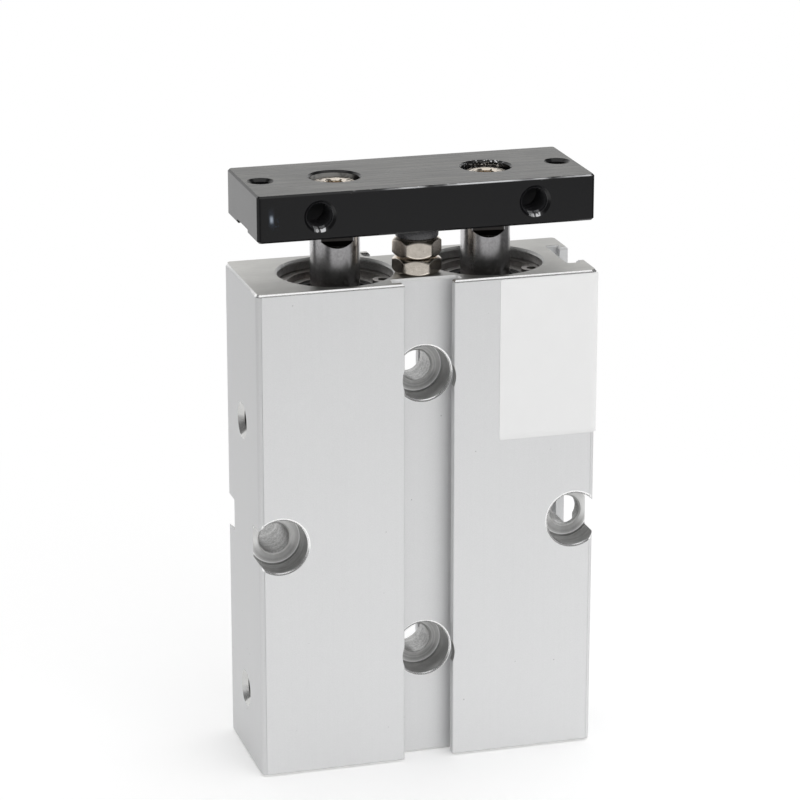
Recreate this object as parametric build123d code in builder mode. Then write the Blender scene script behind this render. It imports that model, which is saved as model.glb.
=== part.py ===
from build123d import *
import os
from math import cos, radians, sin

# Guided pneumatic cylinder with two rods that carry one end plate.
# All lengths are in millimetres. The origin is the centre of the body's rear face, which is the
# face it stands on. +Z runs along the rods towards the end plate, X runs across the two bores and
# -Y is the front, with the two tapped holes of the end plate.

# Body extrusion
body_width = 56.0
body_depth = 21.5
body_corner_radius = 1.0
edge_chamfer = 0.3
bore_diameter = 16.0
bore_spacing = 25.0

# T-slots in the front, rear and right faces of the body
slot_mouth_width = 8.2
slot_inner_width = 10.8
slot_lip = 1.4
slot_depth = 3.2
slot_corner_radius = 0.4

# Stroke and running clearances
stroke = 30.0
rod_clearance = 0.03
seal_clearance = 0.03
piston_clearance = 0.10
wear_ring_clearance = 0.04
stroke_end_gap = 0.3
seat_clearance = 0.02
thread_clearance = 0.05

# Internal circlips, one in each bore end
circlip_thickness = 1.0
circlip_groove_depth = 0.5
circlip_groove_play = 0.1
circlip_rim_play = 0.05
circlip_band = 1.95
circlip_taper = 0.45
circlip_lug_radius = 1.6
circlip_lug_hole_radius = 0.75
circlip_lug_half_angle = 29.0
circlip_gap_direction = -32.0

# Front covers, which guide the rods and close the bores
front_mouth_depth = 1.8
front_seat_step = 1.25
cover_flange_length = 7.7
cover_spigot_length = 11.25
mouth_chamfer = 0.3
bush_wall = 1.0
bush_length = 13.0
rod_seal_wall = 2.5
rod_seal_length = 3.7
rod_seal_recess = 0.3
rod_seal_lip = 0.9
rod_seal_groove_width = 0.6
rod_seal_groove_depth = 1.2
rod_seal_bevel = 0.25
rod_passage_clearance = 0.3
oring_section = 1.5
oring_groove_width = 2.0
oring_play = 0.02
front_oring_offset = 3.2

# Rear covers
rear_mouth_depth = 1.2
rear_cover_length = 7.55
rear_oring_offset = 3.8
rear_cover_dimple_radius = 3.0
rear_cover_dimple_depth = 1.5

# Air ports in the left face
port_thread_radius = 2.1
port_thread_depth = 5.5
port_mouth_radius = 3.0
port_passage_radius = 1.25
port_land = 0.5
port_passage_overrun = 4.0

# Mounting holes through the body, counterbored from both sides
mount_hole_radius = 2.5
counterbore_radius = 4.4
counterbore_depth = 4.4
counterbore_chamfer = 0.2
mount_hole_chamfer = 0.3
lower_hole_height = 18.3
upper_hole_setback = 15.8
side_hole_height = 39.3
side_hole_spacing = 49.0

# Pistons
piston_length = 12.0
piston_chamfer = 0.6
piston_seal_height = 1.9
piston_seal_width = 3.0
piston_seal_groove_radius = 5.6
piston_seal_lip = 0.5
magnet_height = 6.2
magnet_width = 2.8
magnet_groove_radius = 5.6
magnet_recess = 0.5
wear_ring_height = 10.0
wear_ring_width = 1.4
wear_ring_thickness = 0.9
wear_ring_split = 0.5
piston_web = 3.0
stroke_bumper_length = 3.7
stroke_bumper_radius = 5.5
stroke_bumper_lip = 0.8

# Piston rods
rod_diameter = 8.0
rod_chamfer = 0.5
rod_end_recess = 0.5
rod_flat_width = 6.0
rod_flat_reach = 2.3
rod_flat_turn = -8.0
rod_tap_depth = 9.5
rod_bottom_tap_depth = 8.5

# End plate
plate_width = 55.0
plate_depth = 20.4
plate_thickness = 7.5
plate_edge_radius = 0.8
plate_rim_chamfer = 0.3
plate_gap = 8.0
plate_counterbore_radius = 4.0
plate_counterbore_depth = 4.8
plate_top_hole_spacing = 49.0
plate_top_hole_radius = 1.65
plate_top_hole_mouth = 2.15
plate_spot_radius = 4.6
plate_spot_depth = 0.75
plate_front_hole_spacing = 35.0
plate_front_hole_radius = 2.1
plate_front_hole_mouth = 2.6
plate_front_hole_depth = 6.0

# Socket head screws, M4: through the end plate into the rods, and through the pistons into the rods
screw_radius = 2.0
screw_head_radius = 3.5
rod_screw_head_height = 4.0
rod_screw_length = 10.0
piston_screw_head_height = 2.8
piston_screw_length = 10.0
screw_socket_width = 3.0
screw_socket_depth = 1.8
screw_end_chamfer = 0.3
screw_head_fillet = 0.3
screw_pocket_clearance = 0.2
screw_hole_clearance = 0.25

# Adjusting bolt, lock nut and bumper between the rods
adjuster_offset = 3.5
adjuster_radius = 2.0
adjuster_hex_width = 7.0
adjuster_hex_chamfer = 0.7
adjuster_head_height = 2.8
adjuster_head_turn = 49.0
adjuster_length = 12.5
adjuster_hole_margin = 0.6
lock_nut_height = 2.5
lock_nut_turn = 42.5
lock_nut_gap = 0.2
bumper_radius = 3.5
bumper_plate_gap = 0.2
bumper_stem_radius = 1.6
bumper_stem_depth = 1.4
bumper_edge_radius = 0.8

# How far each cutter starts outside the face it enters
past_face = 1.0

# Worked-out levels and radii
bore_radius = bore_diameter / 2
rod_radius = rod_diameter / 2
seat_radius = bore_radius + front_seat_step
front_groove_radius = seat_radius + circlip_groove_depth
rear_groove_radius = bore_radius + circlip_groove_depth
front_mouth_radius = seat_radius + mouth_chamfer
rear_mouth_radius = bore_radius + mouth_chamfer
bush_outer_radius = rod_radius + bush_wall
rod_seal_outer_radius = rod_radius + rod_seal_wall
rod_passage_radius = rod_radius + rod_passage_clearance
oring_radius = oring_section / 2 - oring_play
oring_centre_radius = bore_radius - oring_section / 2
oring_groove_radius = bore_radius - oring_section
rear_clip_bottom = rear_mouth_depth
rear_cover_bottom = rear_clip_bottom + circlip_thickness
rear_cover_top = rear_cover_bottom + rear_cover_length
rear_port_height = rear_cover_top + port_land + port_passage_radius
piston_bottom = rear_port_height + port_passage_radius + port_land
piston_top = piston_bottom + piston_length
front_cover_bottom = piston_top + stroke + stroke_bumper_length + stroke_end_gap
front_port_height = front_cover_bottom - port_land - port_passage_radius
cover_step_height = front_cover_bottom + cover_spigot_length
front_cover_top = cover_step_height + cover_flange_length
front_clip_top = front_cover_top + circlip_thickness
body_height = front_clip_top + front_mouth_depth
upper_hole_height = body_height - upper_hole_setback
plate_bottom = body_height + plate_gap
plate_top = plate_bottom + plate_thickness
plate_middle = plate_bottom + plate_thickness / 2
rod_top = plate_bottom + rod_end_recess
rod_flat_bottom = plate_bottom - rod_flat_reach
piston_screw_seat = piston_bottom + piston_screw_head_height + screw_pocket_clearance
rod_bottom = piston_screw_seat + piston_web
plate_screw_seat = plate_top - plate_counterbore_depth
lock_nut_top = body_height + lock_nut_height
adjuster_head_bottom = lock_nut_top + lock_nut_gap
adjuster_head_top = adjuster_head_bottom + adjuster_head_height
bumper_top = plate_bottom - bumper_plate_gap
front_face = -body_depth / 2
left_face = -body_width / 2
sides = {"left": -bore_spacing / 2, "right": bore_spacing / 2}
adjuster_axis = Axis((0, -adjuster_offset, 0), (0, 0, 1))


def half_section(axis_x, outline, axis_y=0):
    """Face for a revolve: outline is a list of (radius, height) points beside an upright axis."""
    with BuildSketch(Plane(origin=(axis_x, axis_y, 0), x_dir=(1, 0, 0), z_dir=(0, -1, 0))) as section:
        with BuildLine():
            Polyline(*outline, close=True)
        make_face()
    return section.sketch


def bore_axis(axis_x):
    """The axis of the bore that stands at axis_x."""
    return Axis((axis_x, 0, 0), (0, 0, 1))


def ring_section(axis_x, inner, outer, bottom, top):
    """Rectangular half section of a ring."""
    return half_section(axis_x, [(inner, bottom), (outer, bottom), (outer, top), (inner, top)])


# Half section of one bore as it is cut from the body: rear mouth, rear circlip groove, bore,
# seat of the front cover, front circlip groove and front mouth, with a step past both faces.
rear_groove_top = rear_cover_bottom
rear_groove_bottom = rear_clip_bottom - circlip_groove_play
front_groove_bottom = front_cover_top
front_groove_top = front_clip_top + circlip_groove_play
bore_outline = [
    (0, -past_face),
    (rear_mouth_radius, -past_face),
    (rear_mouth_radius, 0),
    (bore_radius, mouth_chamfer),
    (bore_radius, rear_groove_bottom),
    (rear_groove_radius, rear_groove_bottom),
    (rear_groove_radius, rear_groove_top),
    (bore_radius, rear_groove_top),
    (bore_radius, cover_step_height),
    (seat_radius, cover_step_height),
    (seat_radius, front_groove_bottom),
    (front_groove_radius, front_groove_bottom),
    (front_groove_radius, front_groove_top),
    (seat_radius, front_groove_top),
    (seat_radius, body_height - mouth_chamfer),
    (front_mouth_radius, body_height),
    (front_mouth_radius, body_height + past_face),
    (0, body_height + past_face),
]


def mounting_hole_tool(face_depth):
    """Cutter for one counterbored hole along Y through the body.

    face_depth is how far the surface round the hole lies inside the front and rear faces. The
    counterbore's rim is chamfered at that surface. Further out the cutter is narrow again, so a
    slot's lips stay sharp.
    """
    half = body_depth / 2
    surface = half - face_depth
    floor = surface - counterbore_depth
    rim = surface - counterbore_chamfer
    clear = surface + past_face / 2
    mouth = counterbore_radius + counterbore_chamfer
    outline = [
        (0, -half - past_face),
        (counterbore_radius, -half - past_face),
        (counterbore_radius, -clear),
        (mouth, -clear),
        (mouth, -surface),
        (counterbore_radius, -rim),
        (counterbore_radius, -floor),
        (mount_hole_radius + mount_hole_chamfer, -floor),
        (mount_hole_radius, mount_hole_chamfer - floor),
        (mount_hole_radius, floor - mount_hole_chamfer),
        (mount_hole_radius + mount_hole_chamfer, floor),
        (counterbore_radius, floor),
        (counterbore_radius, rim),
        (mouth, surface),
        (mouth, clear),
        (counterbore_radius, clear),
        (counterbore_radius, half + past_face),
        (0, half + past_face),
    ]
    with BuildPart() as tool:
        with BuildSketch(Plane.XY):
            with BuildLine():
                Polyline(*outline, close=True)
            make_face()
        revolve(axis=Axis.Y)
    return tool.part


def port_tool():
    """Cutter for one air port along +X from the left face, with the passage that joins both bores."""
    countersink = port_mouth_radius - port_thread_radius
    passage_end = body_width / 2 + bore_spacing / 2 - bore_radius + port_passage_overrun
    outline = [
        (-past_face, 0),
        (-past_face, port_mouth_radius),
        (0, port_mouth_radius),
        (countersink, port_thread_radius),
        (port_thread_depth, port_thread_radius),
        (port_thread_depth + port_thread_radius - port_passage_radius, port_passage_radius),
        (passage_end, port_passage_radius),
        (passage_end, 0),
    ]
    with BuildPart() as tool:
        with BuildSketch(Plane.XZ):
            with BuildLine():
                Polyline(*outline, close=True)
            make_face()
        revolve(axis=Axis.X)
    return tool.part


def tee_slot():
    """Cross section of a T-slot: its mouth is at Y = 0 and it runs in towards +Y."""
    half_mouth = slot_mouth_width / 2
    half_inner = slot_inner_width / 2
    outline = [
        (-half_mouth, -past_face),
        (half_mouth, -past_face),
        (half_mouth, slot_lip),
        (half_inner, slot_lip),
        (half_inner, slot_depth),
        (-half_inner, slot_depth),
        (-half_inner, slot_lip),
        (-half_mouth, slot_lip),
    ]
    with BuildSketch() as slot:
        with BuildLine():
            Polyline(*outline, close=True)
        make_face()
        fillet(slot.vertices().group_by(Axis.Y)[-1], slot_corner_radius)
    return slot.sketch


def hexagon_blank(width, bottom, height, turn, corner_chamfer):
    """Hexagonal prism on the adjuster's axis, its corners turned off at both ends."""
    across_corners = width / cos(radians(30))
    end_radius = across_corners / 2 - corner_chamfer
    with BuildPart() as blank:
        with BuildSketch(Plane.XY.offset(bottom)):
            with Locations((0, -adjuster_offset)):
                RegularPolygon(width / 2, 6, major_radius=False, rotation=turn)
        extrude(amount=height)
        turned_outline = [
            (0, bottom),
            (end_radius, bottom),
            (across_corners / 2, bottom + corner_chamfer),
            (across_corners / 2, bottom + height - corner_chamfer),
            (end_radius, bottom + height),
            (0, bottom + height),
        ]
        turned_section = half_section(0, turned_outline, -adjuster_offset)
        revolve(turned_section, axis=adjuster_axis, mode=Mode.INTERSECT)
    return blank.part


def socket_screw(axis_x, seat, head_direction, head_height, length):
    """Socket head screw on a bore's axis: the head sits on seat, on the side head_direction (+1 or -1)."""
    outline = [
        (0, seat + head_direction * head_height),
        (screw_head_radius - screw_head_fillet, seat + head_direction * head_height),
        (screw_head_radius, seat + head_direction * (head_height - screw_head_fillet)),
        (screw_head_radius, seat),
        (screw_radius, seat),
        (screw_radius, seat - head_direction * (length - screw_end_chamfer)),
        (screw_radius - screw_end_chamfer, seat - head_direction * length),
        (0, seat - head_direction * length),
    ]
    with BuildPart() as screw:
        revolve(half_section(axis_x, outline), axis=bore_axis(axis_x))
        with BuildSketch(Plane.XY.offset(seat + head_direction * head_height)):
            with Locations((axis_x, 0)):
                RegularPolygon(screw_socket_width / 2, 6, major_radius=False)
        extrude(amount=-head_direction * screw_socket_depth, mode=Mode.SUBTRACT)
    return screw.part


def circlip(axis_x, groove_radius, bottom):
    """Internal circlip: a drilled lug at each end of a band that narrows from its middle to them.

    The lugs stand inwards, and nothing of the ring reaches past its outer circle.
    """
    outer = groove_radius - circlip_rim_play
    inner = outer - circlip_band + circlip_taper / 2
    middle = radians(circlip_gap_direction)
    inner_centre = (axis_x + circlip_taper / 2 * cos(middle), circlip_taper / 2 * sin(middle))
    lug_distance = outer - circlip_band
    reach = 3 * outer
    ends = [radians(circlip_gap_direction + s * circlip_lug_half_angle) for s in (-1, 1)]
    gap_corners = [(axis_x + reach * cos(a), reach * sin(a)) for a in ends]
    lug_centres = [(axis_x + lug_distance * cos(a), lug_distance * sin(a)) for a in ends]
    with BuildPart() as clip:
        with BuildSketch(Plane.XY.offset(bottom)):
            with Locations((axis_x, 0)):
                Circle(outer)
            with Locations(inner_centre):
                Circle(inner, mode=Mode.SUBTRACT)
            with BuildLine():
                Polyline((axis_x, 0), *gap_corners, close=True)
            make_face(mode=Mode.SUBTRACT)
            with Locations(*lug_centres):
                Circle(circlip_lug_radius)
                Circle(circlip_lug_hole_radius, mode=Mode.SUBTRACT)
            with Locations((axis_x, 0)):
                Circle(outer, mode=Mode.INTERSECT)
        extrude(amount=circlip_thickness)
    return clip.part


os.makedirs("parts", exist_ok=True)


# Body: extruded block with T-slots, then bored, counterbored and tapped
centre_hole_tool = mounting_hole_tool(slot_depth)
side_hole_tool = mounting_hole_tool(0)
air_port_tool = port_tool()
with BuildPart() as cylinder_body:
    with BuildSketch(Plane.XY) as outline:
        Rectangle(body_width, body_depth)
        fillet(outline.vertices(), body_corner_radius)
        slot_places = [
            Location((0, front_face, 0), (0, 0, 0)),
            Location((0, -front_face, 0), (0, 0, 180)),
            Location((-left_face, 0, 0), (0, 0, 90)),
        ]
        with Locations(*slot_places):
            add(tee_slot(), mode=Mode.SUBTRACT)
    extrude(amount=body_height)
    end_faces = cylinder_body.faces().filter_by(Axis.Z).sort_by(Axis.Z)
    chamfer(end_faces[-1].edges() + end_faces[0].edges(), edge_chamfer)
    for axis_x in sides.values():
        revolve(half_section(axis_x, bore_outline), axis=bore_axis(axis_x), mode=Mode.SUBTRACT)
    with Locations((0, 0, lower_hole_height), (0, 0, upper_hole_height)):
        add(centre_hole_tool, mode=Mode.SUBTRACT)
    with Locations((-side_hole_spacing / 2, 0, side_hole_height), (side_hole_spacing / 2, 0, side_hole_height)):
        add(side_hole_tool, mode=Mode.SUBTRACT)
    with Locations((left_face, 0, rear_port_height), (left_face, 0, front_port_height)):
        add(air_port_tool, mode=Mode.SUBTRACT)
    adjuster_hole_depth = adjuster_length - lock_nut_height - lock_nut_gap + adjuster_hole_margin
    with Locations((0, -adjuster_offset, body_height - adjuster_hole_depth)):
        Cylinder(
            adjuster_radius + thread_clearance,
            adjuster_hole_depth + past_face,
            align=(Align.CENTER, Align.CENTER, Align.MIN),
            mode=Mode.SUBTRACT,
        )
cylinder_body.part.label = "cylinder_body"
export_step(cylinder_body.part, "parts/cylinder_body.step")

# Front covers: a flange in the seat, a spigot in the bore, a recess for the rod seal at the top and
# one for the guide bush at the bottom
for side, axis_x in sides.items():
    flange_radius = seat_radius - seat_clearance
    spigot_radius = bore_radius - seat_clearance
    groove_bottom = front_cover_bottom + front_oring_offset
    groove_top = groove_bottom + oring_groove_width
    seal_floor = front_cover_top - rod_seal_recess - rod_seal_length
    bush_top = front_cover_bottom + bush_length
    cover_outline = [
        (bush_outer_radius, front_cover_bottom),
        (spigot_radius - edge_chamfer, front_cover_bottom),
        (spigot_radius, front_cover_bottom + edge_chamfer),
        (spigot_radius, groove_bottom),
        (oring_groove_radius, groove_bottom),
        (oring_groove_radius, groove_top),
        (spigot_radius, groove_top),
        (spigot_radius, cover_step_height),
        (flange_radius, cover_step_height),
        (flange_radius, front_cover_top),
        (rod_seal_outer_radius, front_cover_top),
        (rod_seal_outer_radius, seal_floor),
        (rod_passage_radius, seal_floor),
        (rod_passage_radius, bush_top),
        (bush_outer_radius, bush_top),
    ]
    with BuildPart() as front_cover:
        revolve(half_section(axis_x, cover_outline), axis=bore_axis(axis_x))
    front_cover.part.label = f"front_cover_{side}"
    export_step(front_cover.part, f"parts/front_cover_{side}.step")

    with BuildPart() as guide_bush:
        revolve(
            ring_section(axis_x, rod_radius + rod_clearance, bush_outer_radius, front_cover_bottom, bush_top),
            axis=bore_axis(axis_x),
        )
    guide_bush.part.label = f"guide_bush_{side}"
    export_step(guide_bush.part, f"parts/guide_bush_{side}.step")

    # The seal's lip leans in to the rod round a groove in its top face
    seal_top = seal_floor + rod_seal_length
    seal_inner = rod_radius + seal_clearance
    lip_root = seal_inner + rod_seal_lip
    groove_wall = lip_root + rod_seal_groove_width
    groove_floor = seal_top - rod_seal_groove_depth
    seal_outline = [
        (seal_inner, seal_floor),
        (rod_seal_outer_radius, seal_floor),
        (rod_seal_outer_radius, seal_top),
        (groove_wall, seal_top),
        (groove_wall, groove_floor),
        (lip_root, groove_floor),
        (seal_inner + rod_seal_bevel, seal_top),
        (seal_inner, seal_top - rod_seal_bevel),
    ]
    with BuildPart() as rod_seal:
        revolve(half_section(axis_x, seal_outline), axis=bore_axis(axis_x))
    rod_seal.part.label = f"rod_seal_{side}"
    export_step(rod_seal.part, f"parts/rod_seal_{side}.step")

    front_clip = circlip(axis_x, front_groove_radius, front_cover_top)
    front_clip.label = f"front_circlip_{side}"
    export_step(front_clip, f"parts/front_circlip_{side}.step")

    with BuildPart() as front_oring:
        with BuildSketch(Plane(origin=(axis_x, 0, 0), x_dir=(1, 0, 0), z_dir=(0, -1, 0))):
            with Locations((oring_centre_radius, groove_bottom + oring_section / 2)):
                Circle(oring_radius)
        revolve(axis=bore_axis(axis_x))
    front_oring.part.label = f"front_oring_{side}"
    export_step(front_oring.part, f"parts/front_oring_{side}.step")

# Rear covers: plugs that close the bores, each held by a circlip below it
for side, axis_x in sides.items():
    plug_radius = bore_radius - seat_clearance
    groove_bottom = rear_cover_bottom + rear_oring_offset
    groove_top = groove_bottom + oring_groove_width
    dimple_top = rear_cover_bottom + rear_cover_dimple_depth
    cover_outline = [
        (0, dimple_top),
        (rear_cover_dimple_radius, dimple_top),
        (rear_cover_dimple_radius, rear_cover_bottom),
        (plug_radius - edge_chamfer, rear_cover_bottom),
        (plug_radius, rear_cover_bottom + edge_chamfer),
        (plug_radius, groove_bottom),
        (oring_groove_radius, groove_bottom),
        (oring_groove_radius, groove_top),
        (plug_radius, groove_top),
        (plug_radius, rear_cover_top - edge_chamfer),
        (plug_radius - edge_chamfer, rear_cover_top),
        (0, rear_cover_top),
    ]
    with BuildPart() as rear_cover:
        revolve(half_section(axis_x, cover_outline), axis=bore_axis(axis_x))
    rear_cover.part.label = f"rear_cover_{side}"
    export_step(rear_cover.part, f"parts/rear_cover_{side}.step")

    with BuildPart() as rear_oring:
        with BuildSketch(Plane(origin=(axis_x, 0, 0), x_dir=(1, 0, 0), z_dir=(0, -1, 0))):
            with Locations((oring_centre_radius, groove_bottom + oring_section / 2)):
                Circle(oring_radius)
        revolve(axis=bore_axis(axis_x))
    rear_oring.part.label = f"rear_oring_{side}"
    export_step(rear_oring.part, f"parts/rear_oring_{side}.step")

    rear_clip = circlip(axis_x, rear_groove_radius, rear_clip_bottom)
    rear_clip.label = f"rear_circlip_{side}"
    export_step(rear_clip, f"parts/rear_circlip_{side}.step")

# Adjusting bolt, its lock nut and the rubber bumper that the end plate comes down on
with BuildPart() as adjusting_bolt:
    add(
        hexagon_blank(
            adjuster_hex_width, adjuster_head_bottom, adjuster_head_height, adjuster_head_turn, adjuster_hex_chamfer
        )
    )
    bolt_end = adjuster_head_bottom - adjuster_length
    shank_outline = [
        (0, bolt_end),
        (adjuster_radius - screw_end_chamfer, bolt_end),
        (adjuster_radius, bolt_end + screw_end_chamfer),
        (adjuster_radius, adjuster_head_bottom + adjuster_head_height / 2),
        (0, adjuster_head_bottom + adjuster_head_height / 2),
    ]
    revolve(half_section(0, shank_outline, -adjuster_offset), axis=adjuster_axis)
    stem_recess_depth = bumper_stem_depth + seat_clearance
    with Locations((0, -adjuster_offset, adjuster_head_top - stem_recess_depth)):
        Cylinder(
            bumper_stem_radius + seat_clearance,
            stem_recess_depth,
            align=(Align.CENTER, Align.CENTER, Align.MIN),
            mode=Mode.SUBTRACT,
        )
adjusting_bolt.part.label = "adjusting_bolt"
export_step(adjusting_bolt.part, "parts/adjusting_bolt.step")

with BuildPart() as lock_nut:
    add(hexagon_blank(adjuster_hex_width, body_height, lock_nut_height, lock_nut_turn, adjuster_hex_chamfer))
    with Locations((0, -adjuster_offset, body_height)):
        Cylinder(
            adjuster_radius + thread_clearance,
            lock_nut_height,
            align=(Align.CENTER, Align.CENTER, Align.MIN),
            mode=Mode.SUBTRACT,
        )
lock_nut.part.label = "lock_nut"
export_step(lock_nut.part, "parts/lock_nut.step")

bumper_outline = [
    (0, adjuster_head_top - bumper_stem_depth),
    (bumper_stem_radius, adjuster_head_top - bumper_stem_depth),
    (bumper_stem_radius, adjuster_head_top),
    (bumper_radius, adjuster_head_top),
    (bumper_radius, bumper_top),
    (0, bumper_top),
]
with BuildPart() as bumper:
    revolve(half_section(0, bumper_outline, -adjuster_offset), axis=adjuster_axis)
    fillet(bumper.edges().filter_by(GeomType.CIRCLE).group_by(Axis.Z)[-1], bumper_edge_radius)
bumper.part.label = "bumper"
export_step(bumper.part, "parts/bumper.step")

# Pistons, each with a seal, a magnet ring, a wear ring, a stroke-end bumper and its screw
for side, axis_x in sides.items():
    piston_radius = bore_radius - piston_clearance
    pocket_radius = screw_head_radius + screw_pocket_clearance
    screw_hole_radius = screw_radius + screw_hole_clearance
    socket_radius = rod_radius + seat_clearance
    seal_bottom = piston_bottom + piston_seal_height
    seal_top = seal_bottom + piston_seal_width
    magnet_bottom = piston_bottom + magnet_height
    magnet_top = magnet_bottom + magnet_width
    wear_bottom = piston_bottom + wear_ring_height
    wear_top = wear_bottom + wear_ring_width
    wear_outer = bore_radius - wear_ring_clearance
    wear_inner = wear_outer - wear_ring_thickness
    piston_outline = [
        (pocket_radius, piston_bottom),
        (piston_radius - piston_chamfer, piston_bottom),
        (piston_radius, piston_bottom + piston_chamfer),
        (piston_radius, seal_bottom),
        (piston_seal_groove_radius, seal_bottom),
        (piston_seal_groove_radius, seal_top),
        (piston_radius, seal_top),
        (piston_radius, magnet_bottom),
        (magnet_groove_radius, magnet_bottom),
        (magnet_groove_radius, magnet_top),
        (piston_radius, magnet_top),
        (piston_radius, wear_bottom),
        (wear_inner - seat_clearance, wear_bottom),
        (wear_inner - seat_clearance, wear_top),
        (piston_radius, wear_top),
        (piston_radius, piston_top),
        (socket_radius, piston_top),
        (socket_radius, rod_bottom),
        (screw_hole_radius, rod_bottom),
        (screw_hole_radius, piston_screw_seat),
        (pocket_radius, piston_screw_seat),
    ]
    with BuildPart() as piston:
        revolve(half_section(axis_x, piston_outline), axis=bore_axis(axis_x))
    piston.part.label = f"piston_{side}"
    export_step(piston.part, f"parts/piston_{side}.step")

    # The seal has two lips with a hollow between them
    lip_radius = bore_radius - seal_clearance
    ring_inner = piston_seal_groove_radius + seat_clearance
    seal_outline = [
        (ring_inner, seal_bottom + seat_clearance),
        (lip_radius - piston_seal_lip, seal_bottom + seat_clearance),
        (lip_radius, seal_bottom + piston_seal_lip),
        (lip_radius - piston_seal_lip, (seal_bottom + seal_top) / 2),
        (lip_radius, seal_top - piston_seal_lip),
        (lip_radius - piston_seal_lip, seal_top - seat_clearance),
        (ring_inner, seal_top - seat_clearance),
    ]
    with BuildPart() as piston_seal:
        revolve(half_section(axis_x, seal_outline), axis=bore_axis(axis_x))
    piston_seal.part.label = f"piston_seal_{side}"
    export_step(piston_seal.part, f"parts/piston_seal_{side}.step")

    with BuildPart() as magnet_ring:
        revolve(
            ring_section(
                axis_x,
                magnet_groove_radius + seat_clearance,
                piston_radius - magnet_recess,
                magnet_bottom + seat_clearance,
                magnet_top - seat_clearance,
            ),
            axis=bore_axis(axis_x),
        )
    magnet_ring.part.label = f"magnet_ring_{side}"
    export_step(magnet_ring.part, f"parts/magnet_ring_{side}.step")

    # The wear ring is split, so that it can be sprung into its groove
    with BuildPart() as wear_ring:
        revolve(
            ring_section(axis_x, wear_inner, wear_outer, wear_bottom + seat_clearance, wear_top - seat_clearance),
            axis=bore_axis(axis_x),
        )
        with Locations((axis_x, -(wear_inner + wear_outer) / 2, (wear_bottom + wear_top) / 2)):
            Box(wear_ring_split, wear_ring_thickness * 2, wear_ring_width * 2, mode=Mode.SUBTRACT)
    wear_ring.part.label = f"wear_ring_{side}"
    export_step(wear_ring.part, f"parts/wear_ring_{side}.step")

    bumper_end = piston_top + stroke_bumper_length
    ring_outline = [
        (socket_radius, piston_top),
        (stroke_bumper_radius, piston_top),
        (stroke_bumper_radius, bumper_end - stroke_bumper_lip),
        (stroke_bumper_radius - stroke_bumper_lip, bumper_end),
        (socket_radius, bumper_end),
    ]
    with BuildPart() as stroke_bumper:
        revolve(half_section(axis_x, ring_outline), axis=bore_axis(axis_x))
    stroke_bumper.part.label = f"stroke_bumper_{side}"
    export_step(stroke_bumper.part, f"parts/stroke_bumper_{side}.step")

    piston_screw = socket_screw(axis_x, piston_screw_seat, -1, piston_screw_head_height, piston_screw_length)
    piston_screw.label = f"piston_screw_{side}"
    export_step(piston_screw, f"parts/piston_screw_{side}.step")

# Piston rods, tapped at both ends, with two wrench flats below the end plate that run out at 45
# degrees, and the screws that hold the plate on them
flat_depth = rod_radius - rod_flat_width / 2
flat_outline = [
    (rod_radius + past_face, rod_flat_bottom - flat_depth - past_face),
    (rod_flat_width / 2, rod_flat_bottom),
    (rod_flat_width / 2, rod_top + past_face),
    (rod_radius + past_face, rod_top + past_face),
]
with BuildPart() as rod_flat_tool:
    with BuildSketch(Plane.YZ):
        with BuildLine():
            Polyline(*flat_outline, close=True)
        make_face()
        mirror(about=Plane.YZ)
    extrude(amount=rod_radius, both=True)
for side, axis_x in sides.items():
    tap_radius = screw_radius + thread_clearance
    rod_outline = [
        (0, rod_bottom + rod_bottom_tap_depth + tap_radius / 2),
        (tap_radius, rod_bottom + rod_bottom_tap_depth),
        (tap_radius, rod_bottom),
        (rod_radius - rod_chamfer, rod_bottom),
        (rod_radius, rod_bottom + rod_chamfer),
        (rod_radius, rod_top - rod_chamfer),
        (rod_radius - rod_chamfer, rod_top),
        (tap_radius, rod_top),
        (tap_radius, rod_top - rod_tap_depth),
        (0, rod_top - rod_tap_depth - tap_radius / 2),
    ]
    with BuildPart() as piston_rod:
        revolve(half_section(axis_x, rod_outline), axis=bore_axis(axis_x))
        with Locations(Location((axis_x, 0, 0), (0, 0, rod_flat_turn))):
            add(rod_flat_tool.part, mode=Mode.SUBTRACT)
    piston_rod.part.label = f"piston_rod_{side}"
    export_step(piston_rod.part, f"parts/piston_rod_{side}.step")

    rod_screw = socket_screw(axis_x, plate_screw_seat, 1, rod_screw_head_height, rod_screw_length)
    rod_screw.label = f"rod_screw_{side}"
    export_step(rod_screw, f"parts/rod_screw_{side}.step")

# End plate: recesses for the rod ends below, counterbores for their screws above, tapped holes in
# its top and front faces. The holes from the top come out in shallow spot faces, which are wide
# enough to break out of the plate's ends.
plate_counterbore_mouth = plate_counterbore_radius + plate_rim_chamfer
screw_hole_outline = [
    (0, plate_bottom - past_face),
    (rod_radius + seat_clearance, plate_bottom - past_face),
    (rod_radius + seat_clearance, rod_top),
    (screw_radius + screw_hole_clearance, rod_top),
    (screw_radius + screw_hole_clearance, plate_screw_seat),
    (plate_counterbore_radius, plate_screw_seat),
    (plate_counterbore_radius, plate_top - plate_rim_chamfer),
    (plate_counterbore_mouth, plate_top),
    (plate_counterbore_mouth, plate_top + past_face),
    (0, plate_top + past_face),
]
top_countersink = plate_top_hole_mouth - plate_top_hole_radius
spot_floor = plate_bottom + plate_spot_depth
top_hole_outline = [
    (0, plate_bottom - past_face),
    (plate_spot_radius, plate_bottom - past_face),
    (plate_spot_radius, spot_floor),
    (plate_top_hole_mouth, spot_floor),
    (plate_top_hole_radius, spot_floor + top_countersink),
    (plate_top_hole_radius, plate_top - top_countersink),
    (plate_top_hole_mouth, plate_top),
    (plate_top_hole_mouth, plate_top + past_face),
    (0, plate_top + past_face),
]
front_countersink = plate_front_hole_mouth - plate_front_hole_radius
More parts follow.
